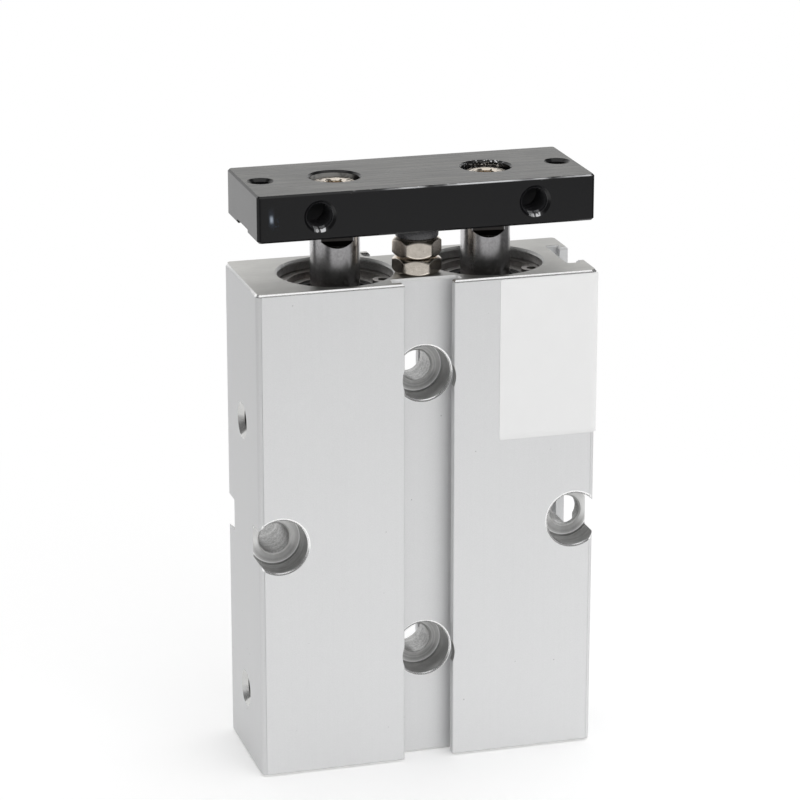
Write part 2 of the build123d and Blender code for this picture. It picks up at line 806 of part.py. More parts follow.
front_hole_outline = [
    (0, -past_face),
    (plate_front_hole_mouth, -past_face),
    (plate_front_hole_mouth, 0),
    (plate_front_hole_radius, front_countersink),
    (plate_front_hole_radius, plate_front_hole_depth),
    (0, plate_front_hole_depth + plate_front_hole_radius / 2),
]
with BuildPart() as front_hole_tool:
    with BuildSketch(Plane.XY):
        with BuildLine():
            Polyline(*front_hole_outline, close=True)
        make_face()
    revolve(axis=Axis.Y)
with BuildPart() as end_plate:
    with BuildSketch(Plane.XY.offset(plate_bottom)) as plate_outline:
        Rectangle(plate_width, plate_depth)
        fillet(plate_outline.vertices(), plate_edge_radius)
    extrude(amount=plate_thickness)
    rims = end_plate.faces().filter_by(Axis.Z)
    chamfer(rims.edges(), plate_rim_chamfer)
    for axis_x in sides.values():
        revolve(half_section(axis_x, screw_hole_outline), axis=bore_axis(axis_x), mode=Mode.SUBTRACT)
    for hole_x in (-plate_top_hole_spacing / 2, plate_top_hole_spacing / 2):
        revolve(half_section(hole_x, top_hole_outline), axis=bore_axis(hole_x), mode=Mode.SUBTRACT)
    for hole_x in (-plate_front_hole_spacing / 2, plate_front_hole_spacing / 2):
        with Locations((hole_x, -plate_depth / 2, plate_middle)):
            add(front_hole_tool.part, mode=Mode.SUBTRACT)
end_plate.part.label = "end_plate"
export_step(end_plate.part, "parts/end_plate.step")
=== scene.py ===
"""Looks of a slim air cylinder: two rods, one end plate, a stroke adjuster between the rods."""
import logging
import math
from collections.abc import Callable
from dataclasses import dataclass
from enum import Enum
from typing import Union

import bpy
import numpy as np
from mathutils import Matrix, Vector


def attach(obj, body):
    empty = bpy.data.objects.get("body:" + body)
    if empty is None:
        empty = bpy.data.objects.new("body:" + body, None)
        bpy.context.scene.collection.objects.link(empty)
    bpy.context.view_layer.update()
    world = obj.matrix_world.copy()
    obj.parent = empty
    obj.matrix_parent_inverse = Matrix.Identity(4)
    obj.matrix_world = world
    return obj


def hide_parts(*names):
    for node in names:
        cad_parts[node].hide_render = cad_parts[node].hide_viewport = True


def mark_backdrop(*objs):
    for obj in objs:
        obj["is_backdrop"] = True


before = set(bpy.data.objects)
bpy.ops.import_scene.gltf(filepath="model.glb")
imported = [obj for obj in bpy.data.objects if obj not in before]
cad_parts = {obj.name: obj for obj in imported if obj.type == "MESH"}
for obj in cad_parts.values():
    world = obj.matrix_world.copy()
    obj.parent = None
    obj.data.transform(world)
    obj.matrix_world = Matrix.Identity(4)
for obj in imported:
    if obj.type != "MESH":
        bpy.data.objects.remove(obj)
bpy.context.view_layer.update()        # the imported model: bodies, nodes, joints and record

log = logging.getLogger("air_cylinder")
MM = 0.001
TURN = 2.0 * math.pi


class Body(Enum):
    """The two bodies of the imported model."""

    FIXED = "body"
    SLIDE = "slide"


class Slot(Enum):
    """Names of the record's material slots; no piece here takes its finish from them."""

    BODY = "anodised_body"
    PLATE = "black_plate"
    NICKEL = "nickel"
    RUBBER = "black_rubber"


class Ends(Enum):
    """How the first and last rows of a surface grid are closed."""

    POLES = "poles"
    JOINED = "joined"


# Shader tools
Value = Union[float, "Signal"]
Shade = tuple[float, float, float]
Colour = Union[Shade, bpy.types.NodeSocket]
Place = tuple["Signal", "Signal", "Signal"]


def arithmetic(operation: str, reflected: bool = False) -> Callable[["Signal", "Value"], "Signal"]:
    """Makes the method that stands for one operator or for the smaller or larger of two.

    Args:
        operation: The Math node's operation.
        reflected: Whether the signal is the second of the two values.

    Returns:
        The method, which adds the node and gives its result.
    """

    def method(self: "Signal", other: Value) -> "Signal":
        values = (other, self) if reflected else (self, other)
        return self.net.math(operation, *values)

    return method


class Signal:
    """One number that varies over a surface: an output socket on which operators add Math nodes."""

    __add__ = __radd__ = arithmetic("ADD")
    __sub__ = arithmetic("SUBTRACT")
    __rsub__ = arithmetic("SUBTRACT", reflected=True)
    __mul__ = __rmul__ = arithmetic("MULTIPLY")
    __truediv__ = arithmetic("DIVIDE")
    __pow__ = arithmetic("POWER")
    least = arithmetic("MINIMUM")
    most = arithmetic("MAXIMUM")

    def __init__(self, net: "Net", socket: bpy.types.NodeSocket) -> None:
        """Wraps a socket.

        Args:
            net: The tree that the socket belongs to.
            socket: The output socket.
        """
        self.net = net
        self.socket = socket

    def __abs__(self) -> "Signal":
        """Size without sign."""
        return self.net.math("ABSOLUTE", self)

    def root(self) -> "Signal":
        """Square root."""
        return self.net.math("SQRT", self)

    def rise(self, low: float, high: float) -> "Signal":
        """Smooth step.

        Args:
            low: Where the result leaves 0.
            high: Where the result reaches 1.

        Returns:
            A signal from 0 to 1.
        """
        settings = {"interpolation_type": "SMOOTHSTEP", "clamp": True}
        limits = {0: self, 1: low, 2: high, 3: 0.0, 4: 1.0}
        node = self.net.node("ShaderNodeMapRange", settings, limits)
        return Signal(self.net, node.outputs[0])

    def fall(self, low: float, high: float) -> "Signal":
        """1 below low, 0 above high, smooth between."""
        return 1.0 - self.rise(low, high)

    def past(self, edge: float, soft: float = 0.02) -> "Signal":
        """0 up to an edge, 1 from soft beyond it."""
        return self.rise(edge, edge + soft)

    def upto(self, edge: float, soft: float = 0.02) -> "Signal":
        """1 up to an edge, 0 from soft beyond it."""
        return self.fall(edge, edge + soft)

    def held(self) -> "Signal":
        """Kept from 0 to 1."""
        return self.most(0.0).least(1.0)

    def sway(self, size: float) -> "Signal":
        """How far a noise lies from its middle, times a size."""
        return (self - 0.5) * size


def shade_of(colour: Shade) -> tuple[float, float, float, float]:
    """A colour as the four numbers that a colour socket holds."""
    return (*colour, 1.0)


def scaled(colour: Shade, factor: float, added: float = 0.0) -> Shade:
    """A colour times a factor, plus a number."""
    return tuple(part * factor + added for part in colour)


class Net:
    """Builds one node tree; every node of every finish is made here."""

    def __init__(self, tree: bpy.types.NodeTree) -> None:
        """Empties a tree and starts on it.

        Args:
            tree: The node tree of a material or of the world.
        """
        self.tree = tree
        tree.nodes.clear()
        self._point: bpy.types.NodeSocket | None = None

    def node(
        self,
        kind: str,
        settings: dict[str, object] | None = None,
        inputs: dict[int | str, object] | None = None,
    ) -> bpy.types.Node:
        """Adds a node.

        Args:
            kind: The node's type.
            settings: Its properties, set first; "stops" is a ramp's list of (place, colour).
            inputs: Numbers, colours, vectors, sockets or signals for its input sockets.

        Returns:
            The new node.
        """
        made = self.tree.nodes.new(kind)
        for key, setting in (settings or {}).items():
            if key == "stops":
                elements = made.color_ramp.elements
                while len(elements) < len(setting):
                    elements.new(0.5)
                for element, (place, colour) in zip(elements, setting):
                    element.position = place
                    element.color = shade_of(colour)
            else:
                setattr(made, key, setting)
        for key, value in (inputs or {}).items():
            if isinstance(value, Signal):
                self.tree.links.new(value.socket, made.inputs[key])
            elif isinstance(value, bpy.types.NodeSocket):
                self.tree.links.new(value, made.inputs[key])
            elif isinstance(value, tuple) and len(value) == 3 and made.inputs[key].type == "RGBA":
                made.inputs[key].default_value = shade_of(value)
            else:
                made.inputs[key].default_value = value
        return made

    def math(self, operation: str, *values: Value) -> Signal:
        """One Math node.

        Args:
            operation: The node's operation.
            values: Its one or two values.

        Returns:
            Its result.
        """
        made = self.node("ShaderNodeMath", {"operation": operation}, dict(enumerate(values)))
        return Signal(self, made.outputs[0])

    def vector(self, operation: str, *values: object) -> bpy.types.Node:
        """One Vector Math node."""
        return self.node("ShaderNodeVectorMath", {"operation": operation}, dict(enumerate(values)))

    def point(self) -> bpy.types.NodeSocket:
        """Place on the object in millimetres, as a vector."""
        if self._point is None:
            source = self.node("ShaderNodeTexCoord").outputs["Object"]
            self._point = self.vector("MULTIPLY", source, (1000.0, 1000.0, 1000.0)).outputs[0]
        return self._point

    def place(self) -> Place:
        """Place on the object in millimetres, as three numbers x, y, z."""
        parts = self.node("ShaderNodeSeparateXYZ", inputs={0: self.point()})
        return tuple(Signal(self, socket) for socket in parts.outputs)

    def facing(self) -> tuple[Signal, Signal, Signal]:
        """The surface's true normal in the object's own directions, as three numbers."""
        true_normal = self.node("ShaderNodeNewGeometry").outputs["True Normal"]
        settings = {"vector_type": "NORMAL", "convert_from": "WORLD", "convert_to": "OBJECT"}
        turned = self.node("ShaderNodeVectorTransform", settings, {0: true_normal})
        parts = self.node("ShaderNodeSeparateXYZ", inputs={0: turned.outputs[0]})
        return tuple(Signal(self, socket) for socket in parts.outputs)

    def noise(
        self,
        grain: float | tuple[float, float, float],
        detail: float = 2.0,
        roughness: float = 0.6,
        at: tuple[Value, Value, Value] | None = None,
    ) -> Signal:
        """Noise with a grain of its own length along each axis.

        Args:
            grain: Size of a grain in millimetres, or its sizes along x, y and z.
            detail: Octaves of finer noise.
            roughness: Share that each finer octave adds.
            at: Three numbers to read instead of the place on the object.

        Returns:
            A number round 0.5.
        """
        sizes = (grain,) * 3 if isinstance(grain, float) else grain
        if at is None:
            where = self.point()
        else:
            where = self.node("ShaderNodeCombineXYZ", inputs=dict(enumerate(at))).outputs[0]
        scaled = self.vector("MULTIPLY", where, tuple(1.0 / size for size in sizes)).outputs[0]
        inputs = {"Vector": scaled, "Scale": 1.0, "Detail": detail, "Roughness": roughness}
        return Signal(self, self.node("ShaderNodeTexNoise", inputs=inputs).outputs[0])

    def specks(self, spacing: float) -> Signal:
        """Distance from the nearest of many scattered points, in spacings of so many millimetres."""
        scaled = self.vector("MULTIPLY", self.point(), (1.0 / spacing,) * 3).outputs[0]
        made = self.node("ShaderNodeTexVoronoi", {"feature": "F1"}, {"Vector": scaled, "Scale": 1.0})
        return Signal(self, made.outputs["Distance"])

    def blend(self, share: Value, low: Colour, high: Colour) -> bpy.types.NodeSocket:
        """Colour between two.

        Args:
            share: 0 for low, 1 for high.
            low: A colour or a colour socket.
            high: A colour or a colour socket.

        Returns:
            The mixed colour's socket.
        """
        settings = {"data_type": "RGBA", "blend_type": "MIX", "clamp_factor": True}
        return self.node("ShaderNodeMix", settings, {0: share, 6: low, 7: high}).outputs[2]

    def tinted(self, share: Value, tint: Shade, dark: float, light: float) -> bpy.types.NodeSocket:
        """Colour between a darker and a lighter version of one tint.

        Args:
            share: 0 for the darker, 1 for the lighter.
            tint: The colour that both come from.
            dark: Factor of the darker one.
            light: Factor of the lighter one.

        Returns:
            The mixed colour's socket.
        """
        return self.blend(share, scaled(tint, dark), scaled(tint, light))

    def shown(self) -> Signal:
        """1 for rays from the camera, through a clear surface or off a glossy one, 0 for all others."""
        path = self.node("ShaderNodeLightPath")
        kinds = ("Camera", "Transmission", "Glossy")
        camera, through, glossy = (Signal(self, path.outputs[f"Is {kind} Ray"]) for kind in kinds)
        return camera.most(through).most(glossy)

    def bump(
        self, height: Value, depth: float, under: bpy.types.NodeSocket | None = None
    ) -> bpy.types.NodeSocket:
        """Bumped normal.

        Args:
            height: The relief, round 0 to 1.
            depth: Millimetres from 0 to 1 of the relief.
            under: A normal that the relief is laid on.

        Returns:
            The normal's socket.
        """
        inputs: dict[int | str, object] = {"Strength": 1.0, "Distance": depth * MM, "Height": height}
        if under is not None:
            inputs["Normal"] = under
        return self.node("ShaderNodeBump", inputs=inputs).outputs[0]

    def surface(self, **sockets: object) -> None:
        """Ends a material in one Principled shader.

        Args:
            sockets: Values for the shader's sockets, spaces written as underscores.
        """
        inputs = {key.replace("_", " "): value for key, value in sockets.items()}
        shader = self.node("ShaderNodeBsdfPrincipled", inputs=inputs)
        self.node("ShaderNodeOutputMaterial", inputs={"Surface": shader.outputs[0]})


def distance(a: Signal, b: Signal) -> Signal:
    """Length of the hypotenuse over two legs."""
    return (a * a + b * b).root()


def blank_material(name: str) -> tuple[bpy.types.Material, Net]:
    """A new material and its empty tree."""
    made = bpy.data.materials.new(name)
    made.use_nodes = True
    return made, Net(made.node_tree)


# Finishes
@dataclass(frozen=True)
class Finish:
    """A surface finish: a name and the recipe of its material."""

    name: str

    def recipe(self, net: Net) -> None:
        """Adds the finish's nodes; each finish has its own."""
        raise NotImplementedError

    def material(self) -> bpy.types.Material:
        """The finish as a Blender material, made once."""
        known = bpy.data.materials.get(self.name)
        if known is not None:
            return known
        made, net = blank_material(self.name)
        self.recipe(net)
        return made


@dataclass(frozen=True)
class BlockSizes:
    """Sizes of the extruded block that its finish, threads and film share, in millimetres."""

    width: float = 56.0
    depth: float = 21.5
    height: float = 81.0
    corner_radius: float = 1.0
    end_chamfer: float = 0.3
    bore_places: tuple[float, float] = (-12.5, 12.5)
    bore_wall: float = 8.04
    seat_wall: float = 9.8
    seat_reach: float = 10.5
    bore_mouth: float = 9.55
    slot_half_width: float = 4.1
    slot_depth: float = 3.2
    slot_hole_levels: tuple[float, ...] = (18.3, 65.2)
    side_hole_level: float = 39.3
    side_hole_place: float = 24.5
    hole_radius: float = 2.5
    counterbore_depth: float = 4.4
    counterbore_radius: float = 4.4
    counterbore_rim: float = 4.6
    counterbore_corner: float = 4.16
    worn_width: float = 0.22
    port_levels: tuple[float, ...] = (11.5, 57.5)
    port_radius: float = 2.1
    port_mouth: float = 3.0
    port_reach: float = 8.0

    @property
    def holes(self) -> tuple[tuple[float, float, float], ...]:
        """Each mounting hole's place, its level and how far from the middle its counterbore starts."""
        face = self.depth / 2
        in_slots = tuple((0.0, level, face - self.slot_depth) for level in self.slot_hole_levels)
        at_sides = tuple((sign * self.side_hole_place, self.side_hole_level, face) for sign in (-1.0, 1.0))
        return in_slots + at_sides


@dataclass
class HoleMasks:
    """Where the parts of the mounting holes are, each 0 to 1, and the distance from the nearest axis."""

    wall: Value = 0.0
    ledge: Value = 0.0
    through: Value = 0.0
    # Ring at the floor's outer edge, laid on as a painted highlight.
    corner: Value = 0.0
    # Chamfer and band round each counterbore, bare metal with a painted highlight.
    rim: Value = 0.0
    lean: Value = 0.0
    shadow: Value = 0.0
    from_axis: Value = 1000.0


@dataclass(frozen=True)
class BlastedExtrusion(Finish):
    """Clear anodised aluminium: blasted outside, milled at both ends, turned in the bores and holes."""

    block: BlockSizes
    blasted: Shade = (0.765, 0.768, 0.772)
    milled: Shade = (0.50, 0.495, 0.475)
    turned: Shade = (0.50, 0.50, 0.495)
    # Painted light: the counterbore floors and through-hole chamfers are coloured lighter than the walls.
    floor: Shade = (0.72, 0.72, 0.71)
    # Near-white for bare cut edges, and for the painted highlights laid on them.
    bare_edge_and_highlight: Shade = (0.99, 0.99, 0.985)
    mouth_tone: Shade = (0.36, 0.36, 0.355)
    # Painted shade: near-black for the port threads, standing in for the shade deep inside the ports.
    painted_thread_shade: Shade = (0.07, 0.07, 0.068)
    cone_tone: Shade = (0.60, 0.60, 0.59)
    pit_tone: Shade = (0.20, 0.20, 0.20)
    shadow_tones: tuple[Shade, Shade] = ((0.20, 0.20, 0.20), (0.46, 0.46, 0.455))

    def bore_masks(self, at: Place, from_middle: Signal, end_face: Signal) -> tuple[Signal, Signal]:
        """Where the walls of the bores and the chamfers of their mouths are.

        Args:
            at: Place on the block.
            from_middle: Distance from the block's half height.
            end_face: 1 on both ends.

        Returns:
            The mask of the walls and the mask of the chamfers.
        """
        x, y, _ = at
        block = self.block
        half = block.height / 2
        in_seat = from_middle.past(half - block.seat_reach - 0.02)
        wall: Value = 0.0
        mouth: Value = 0.0
        for place in block.bore_places:
            radius = distance(x - place, y)
            wall = radius.upto(block.bore_wall, 0.04) * (1.0 - in_seat) + wall
            wall = radius.upto(block.seat_wall, 0.04) * in_seat + wall
            mouth = radius.upto(block.bore_mouth + 0.02, 0.03) + mouth
        near_end = half - block.end_chamfer - 0.03
        wall = wall * from_middle.upto(near_end, 0.03)
        return wall, mouth * from_middle.past(near_end, 0.03) * (1.0 - end_face)

    def hole_masks(self, at: Place) -> HoleMasks:
        """Where the counterbored mounting holes are.

        Args:
            at: Place on the block.

        Returns:
            The masks, added up over all holes.
        """
        x, y, z = at
        aside = abs(y)
        block = self.block
        outer_floor = aside.upto(block.depth / 2 - 4.0, 0.1)
        reach = block.counterbore_rim + block.worn_width
        edge = block.counterbore_corner
        masks = HoleMasks()
        for place, level, surface in block.holes:
            radius = distance(x - place, z - level)
            bottom = surface - block.counterbore_depth
            deep = aside.past(bottom - 0.06)
            flat = aside.upto(bottom + 0.03) * deep
            wide = radius.upto(block.counterbore_radius + 0.02)
            narrow = radius.upto(block.hole_radius + 0.04)
            bevel = radius.upto(block.hole_radius + 0.32) - narrow
            inner = radius.upto(edge, 0.04)
            floor = inner * flat
            at_surface = aside.upto(surface + 0.01)
            near = ((reach - radius) / block.worn_width).held()
            masks.wall = wide * deep * (1.0 - flat) + (wide - inner) * flat + masks.wall
            # Floors and through-hole chamfers, later coloured lighter as painted light.
            masks.ledge = floor + bevel * (1.0 - deep) + masks.ledge
            # A thin ring at the floor's outer edge, for a painted highlight.
            masks.corner = floor * radius.past(edge - 0.20, 0.08) + masks.corner
            below = (level - z).rise(0.2, 2.2) * outer_floor
            masks.shadow = floor * below * radius.upto(edge - 0.5, 0.3) + masks.shadow
            masks.through = narrow * (1.0 - deep) + masks.through
            # The counterbore's chamfer and a band round it, bare metal with a painted highlight.
            outside = radius.upto(reach - 0.02) - wide
            masks.rim = outside * aside.past(surface - 0.22, 0.03) * at_surface + masks.rim
            masks.lean = near * near * aside.past(surface - 0.03) * at_surface + masks.lean
            masks.from_axis = radius.least(masks.from_axis)
        return masks

    def port_masks(self, at: Place) -> tuple[Signal, Signal, Signal]:
        """Where the air ports of the left face are.

        Args:
            at: Place on the block.

        Returns:
            The masks of the thread, painted dark as shade, of the countersink, and of the countersink's
            lower part, painted near-white as a highlight.
        """
        x, y, z = at
        block = self.block
        from_left = x + block.width / 2
        cone_depth = block.port_mouth - block.port_radius
        deep = from_left.past(cone_depth, 0.04)
        thread: Value = 0.0
        cone: Value = 0.0
        painted_glint: Value = 0.0
        for level in block.port_levels:
            radius = distance(y, z - level)
            inner = radius.upto(block.port_radius + 0.02, 0.03)
            slope = radius.upto(block.port_mouth + 0.01, 0.03) * (1.0 - deep)
            thread = inner * deep * from_left.upto(block.port_reach, 0.5) + thread
            cone = slope + cone
            # Painted highlight on the countersink's lower part.
            painted_glint = slope * (level - z).rise(0.4, 1.6) * y.rise(0.2, 1.4) + painted_glint
        return thread, cone, painted_glint

    def recipe(self, net: Net) -> None:
        """Grain of about 0.2 mm on the outside, lines on the end faces, rings in the bores and holes."""
        block = self.block
        at = net.place()
        x, y, z = at
        half = block.height / 2
        face = block.depth / 2
        from_middle = abs(z - half)
        aside = abs(y)
        end_face = from_middle.past(half - 0.04, 0.03)
        # Bare cut chamfers of the end faces with a painted highlight: the colour reaches a little below the
        # chamfer and is strongest near the front and back faces.
        end_edge_and_highlight = from_middle.past(half - 0.46, 0.08) * (1.0 - end_face)
        end_edge_and_highlight = end_edge_and_highlight * (aside.past(face - 4.4, 0.3) * 0.7 + 0.3)
        bore, mouth = self.bore_masks(at, from_middle, end_face)
        holes = self.hole_masks(at)
        thread, cone, painted_glint = self.port_masks(at)
        within = abs(x).upto(block.width / 2 - 0.03)
        ledge = holes.ledge * within
        corner = holes.corner * within
        turned = ((holes.wall + holes.through) * within + bore + mouth + thread + cone).least(1.0)
        # Cut edges and counterbore rims: bare metal, coloured near-white as a painted highlight.
        cut = end_edge_and_highlight.most(holes.rim * within).least(1.0)
        milled = end_face * (1.0 - turned)
        plain = (1.0 - turned) * (1.0 - milled) * (1.0 - ledge) * (1.0 - cut)

        grit = net.noise(0.32)
        grain = net.noise(0.16)
        mottle = net.noise((1.1, 1.1, 1.6), roughness=0.55)
        cloud = net.noise((14.0, 14.0, 22.0), roughness=0.5)
        lines = net.noise((11.0, 0.13, 1.0))
        stain = net.noise((6.0, 3.0, 3.0), 3.0)
        rings = net.noise((0.16, 0.5, 1.0), roughness=0.65, at=(holes.from_axis, y, 0.0))
        draws = net.noise((0.45, 0.45, 60.0), roughness=0.5)
        pits = net.specks(2.6).fall(0.035, 0.06) * mottle.rise(0.5, 0.6)

        tone = grain.sway(0.24) + mottle.sway(0.06) + cloud.sway(0.05) + draws.sway(0.05) + 0.5
        # Painted light: besides the milling lines and stains, the milled ends are coloured lighter towards
        # the left end.
        milled_tone = lines.sway(1.1) + stain.sway(0.7) + (0.0 - x).rise(17.0, 28.0) * 0.42 + 0.32
        ring_tone = rings.sway(1.6) + mottle.sway(0.8) + grit.sway(2.6) * holes.through + 0.5
        colour = net.tinted(tone, self.blasted, 0.75, 1.25)
        colour = net.blend(pits * plain * 0.45, colour, self.pit_tone)
        colour = net.blend(milled, colour, net.tinted(milled_tone, self.milled, 0.8, 1.2))
        colour = net.blend(turned, colour, net.tinted(ring_tone, self.turned, 0.7, 1.3))
        colour = net.blend(mouth, colour, self.mouth_tone)
        # Painted light: counterbore floors and through-hole chamfers lighter than the walls.
        colour = net.blend(ledge, colour, net.tinted(ring_tone, self.floor, 0.8, 1.2))
        # Painted shade: the port threads are coloured near-black.
        colour = net.blend(thread, colour, self.painted_thread_shade)
        colour = net.blend(cone, colour, self.cone_tone)
        # Painted highlight: the countersinks' lower parts in near-white.
        colour = net.blend(painted_glint, colour, self.bare_edge_and_highlight)
        colour = net.blend(holes.shadow * 0.6, colour, net.blend(ring_tone, *self.shadow_tones))
        # Painted highlight: the cut edges and the ring at each counterbore floor's edge in near-white.
        colour = net.blend(cut.most(corner), colour, self.bare_edge_and_highlight)

        outer = aside.past(face - 1.6, 0.4).most(holes.rim)
        rough = 0.50 - turned * 0.14 - milled * 0.12 - cut * 0.28 - ledge * 0.08
        rough = rough + mouth * 0.15 - cone * 0.12 + mottle.sway(0.08)
        metal = 0.45 + turned * 0.35 + milled * 0.45 + cut * outer * 0.75
        metal = metal - cut * 0.25 - ledge * 0.10 + cone * 0.20

        past_mouth = ((abs(x) - block.slot_half_width) / 0.22).held()
        brow = (1.0 - (1.0 - past_mouth) ** 2.0) * aside.past(face - 0.05, 0.03)
        near_end = ((from_middle - (half - block.end_chamfer - block.worn_width)) / block.worn_width).held()
        lean = near_end * near_end * from_middle.upto(half - block.end_chamfer) + holes.lean
        eased_edge = net.bump(1.0 - lean, block.worn_width * 0.45, net.bump(brow, 0.10))
        relief = grain * plain + lines * milled * 0.35 + rings * turned.most(ledge) * 0.6
        net.surface(
            Base_Color=colour,
            Metallic=metal.least(1.0),
            Roughness=rough,
            Normal=net.bump(relief, 0.020, eased_edge),
        )


@dataclass(frozen=True)
class BlackMilled(Finish):
    """Black anodised aluminium: milled top, smooth sides, nicks, one rub mark and bare thread ends."""

    top: float
    front: float
    rub_place: tuple[float, float]
    front_hole: tuple[float, float, float]
    well: tuple[float, float]
    side_tones: tuple[Shade, Shade] = ((0.0035, 0.0035, 0.0040), (0.0065, 0.0065, 0.0072))
    milled_tones: tuple[Shade, Shade] = ((0.003, 0.003, 0.002), (0.115, 0.112, 0.100))
    smear_tone: Shade = (0.048, 0.047, 0.044)
    painted_hole_light: Shade = (0.030, 0.030, 0.032)
    painted_sheen_tone: Shade = (0.42, 0.42, 0.41)
    bare_tone: Shade = (0.74, 0.745, 0.76)

    def burrs(self, net: Net, at: Place, from_hole: Signal) -> Signal:
        """Bare metal at the bottom of the front holes' first threads, in two patches.

        Args:
            net: The finish's tree.
            at: Place on the plate.
            from_hole: Distance from the nearer front hole's axis.

        Returns:
            The mask of the bare patches.
        """
        x, y, z = at
        place, level, radius = self.front_hole
        ring = from_hole.fall(radius + 0.42, radius + 0.52) * from_hole.rise(radius - 0.5, radius - 0.3)
        at_mouth = y.fall(self.front + 0.9, self.front + 1.5) * y.rise(self.front + 0.03, self.front + 0.08)
        beside = abs(x) - place
        patches = abs(beside + 0.50).fall(0.36, 0.46).most(abs(beside - 0.55).fall(0.30, 0.44))
        low = ((level - z) / radius).rise(0.55, 0.75)
        uneven = net.noise((0.5, 0.9, 0.5), roughness=0.55).rise(0.34, 0.50)
        return ring * at_mouth * low * patches * uneven

    def well_marks(self, net: Net, at: Place, chips: Signal) -> tuple[Signal, Signal]:
        """Bare flecks behind the right screw's well and a painted sheen, a painted reflection, inside the
        left one.

        Args:
            net: The finish's tree.
            at: Place on the plate.
            chips: Noise of the size of a chip.

        Returns:
            The mask of the flecks and the mask of the painted sheen.
        """
        x, y, z = at
        place, radius = self.well
        wall = distance(abs(x) - place, y).fall(radius + 0.30, radius + 0.38)
        fleck = wall * z.rise(self.top - 1.1, self.top - 0.9) * chips.rise(0.56, 0.60)
        fleck = fleck * y.rise(1.6, 2.8) * x.rise(-1.0, 1.0) * 0.85
        # Painted reflection on the left well's wall.
        painted_sheen = wall * z.fall(self.top - 0.45, self.top - 0.30) * z.rise(self.top - 2.4, self.top - 1.9)
        painted_sheen = painted_sheen * y.rise(1.2, 2.6) * x.fall(-1.0, 1.0)
        return fleck, painted_sheen * (net.noise(1.2).rise(0.3, 0.6) * 0.5 + 0.5)

    def rubbed(self, net: Net, at: Place, colour: Colour, ahead: Signal) -> Colour:
        """Lays the rub mark of the front face over a colour: a trail, dust beside it and a pale core.

        Args:
            net: The finish's tree.
            at: Place on the plate.
            colour: The colour below.
            ahead: 1 where the surface faces the front.

        Returns:
            The colour with the mark.
        """
        x, _, z = at
        place, level = self.rub_place
        across = abs(x - place + (z - level) * 0.05)
        along = z - level
        core = across.fall(0.04, 0.40) * abs(along).fall(0.10, 0.85)
        trail = across.fall(0.1, 0.65) * along.fall(0.4, 2.2) * along.rise(-1.8, -0.4)
        near = distance(x - place - 0.55, along + 0.75).fall(0.3, 1.3)
        dust = near * net.noise(0.25).rise(0.56, 0.66)
        colour = net.blend(trail * ahead * 0.30, colour, (0.045, 0.060, 0.085))
        colour = net.blend(dust * ahead * 0.55, colour, (0.030, 0.060, 0.105))
        return net.blend(core * ahead * 0.85, colour, (0.34, 0.39, 0.46))

    def recipe(self, net: Net) -> None:
        """Long streaks on the top and bottom, a fine grain elsewhere, bare metal in the broken coat."""
        at = net.place()
        x, y, z = at
        _, forward, upward = net.facing()
        flat = abs(upward).rise(0.7, 0.9)
        streaks = net.noise((22.0, 0.42, 2.0), 4.0, 0.62)
        scratches = net.noise((9.0, 0.12, 2.0))
        fine = net.noise(0.14, roughness=0.55)
        cloud = net.noise((5.0, 3.0, 3.0), 3.0)
        smear = net.noise((2.6, 1.4, 1.4), 4.0, 0.65)
        chips = net.noise((0.5, 0.26, 0.26))
        drift = net.noise(6.0, roughness=0.5).rise(0.34, 0.56)
        edge = distance(y - self.front, z - self.top)
        nick = edge.fall(0.30, 0.42) * chips.rise(0.69, 0.71) * x.rise(-16.0, -12.0)
        worn = edge.fall(0.235, 0.275) * drift * x.rise(-9.0, -2.0) * 0.80

        place, level, radius = self.front_hole
        from_hole = distance(abs(x) - place, z - level)
        burr = self.burrs(net, at, from_hole)
        fleck, painted_sheen = self.well_marks(net, at, chips)
        bare = nick.most(worn).most(burr).most(fleck)

        faces = net.blend(streaks.sway(4.2) + scratches.sway(2.2) + 0.36, *self.milled_tones)
        faces = net.blend(smear.rise(0.56, 0.8) * 0.5, faces, self.smear_tone)
        colour = net.blend(flat, net.blend(fine.sway(1.2) + 0.5, *self.side_tones), faces)
        # Painted light: the insides of the front holes are lifted above the black coat.
        inside = from_hole.fall(radius + 0.05, radius + 0.15) * y.rise(self.front + 0.2, self.front + 0.5)
        colour = net.blend(inside * y.fall(0.0, 1.0), colour, self.painted_hole_light)
        # Painted reflection: a grey sheen on the left well's wall.
        colour = net.blend(painted_sheen * 0.8, colour, self.painted_sheen_tone)
        colour = self.rubbed(net, at, colour, (0.0 - forward).rise(0.6, 0.9))
        colour = net.blend(bare, colour, self.bare_tone)
        rough = 0.20 + flat * 0.10 + streaks.sway(0.22) * flat + cloud.sway(0.08) + burr * 0.12
        relief = (streaks * 0.5 + scratches * 0.6) * flat + fine * 0.30
        net.surface(
            Base_Color=colour,
            Metallic=bare * 0.9,
            Roughness=rough,
            Normal=net.bump(relief, 0.009),
            IOR=1.43,
        )


@dataclass(frozen=True)
class NickelPlate(Finish):
    """Warm grey nickel plating, tumbled, with a few dull spots and pits."""

    tint: Shade = (0.83, 0.76, 0.675)
    roughness: float = 0.22
    hammer: float = 0.0

    def recipe(self, net: Net) -> None:
        """A soft mottle, fine scratches, scattered dark pits and hammered dimples where asked."""
        mottle = net.noise(0.9, 3.0)
        fine = net.noise(0.12)
        scratch = net.noise((0.9, 0.9, 0.05))
        pits = net.specks(0.62).fall(0.10, 0.17) * mottle.rise(0.42, 0.6)
        colour = net.tinted(mottle.sway(1.4) + 0.5, self.tint, 0.80, 1.16)
        colour = net.blend(pits * 0.7, colour, (0.16, 0.14, 0.12))
        rough = self.roughness + mottle.sway(0.12) + fine.sway(0.10) + pits * 0.25
        relief = fine * 0.3 + scratch * 0.25 - pits * 0.8
        dimples = net.bump(net.noise(0.55, 1.0, 0.5), self.hammer)
        normal = net.bump(relief, 0.006, dimples)
        net.surface(Base_Color=colour, Metallic=1.0, Roughness=rough, Normal=normal)


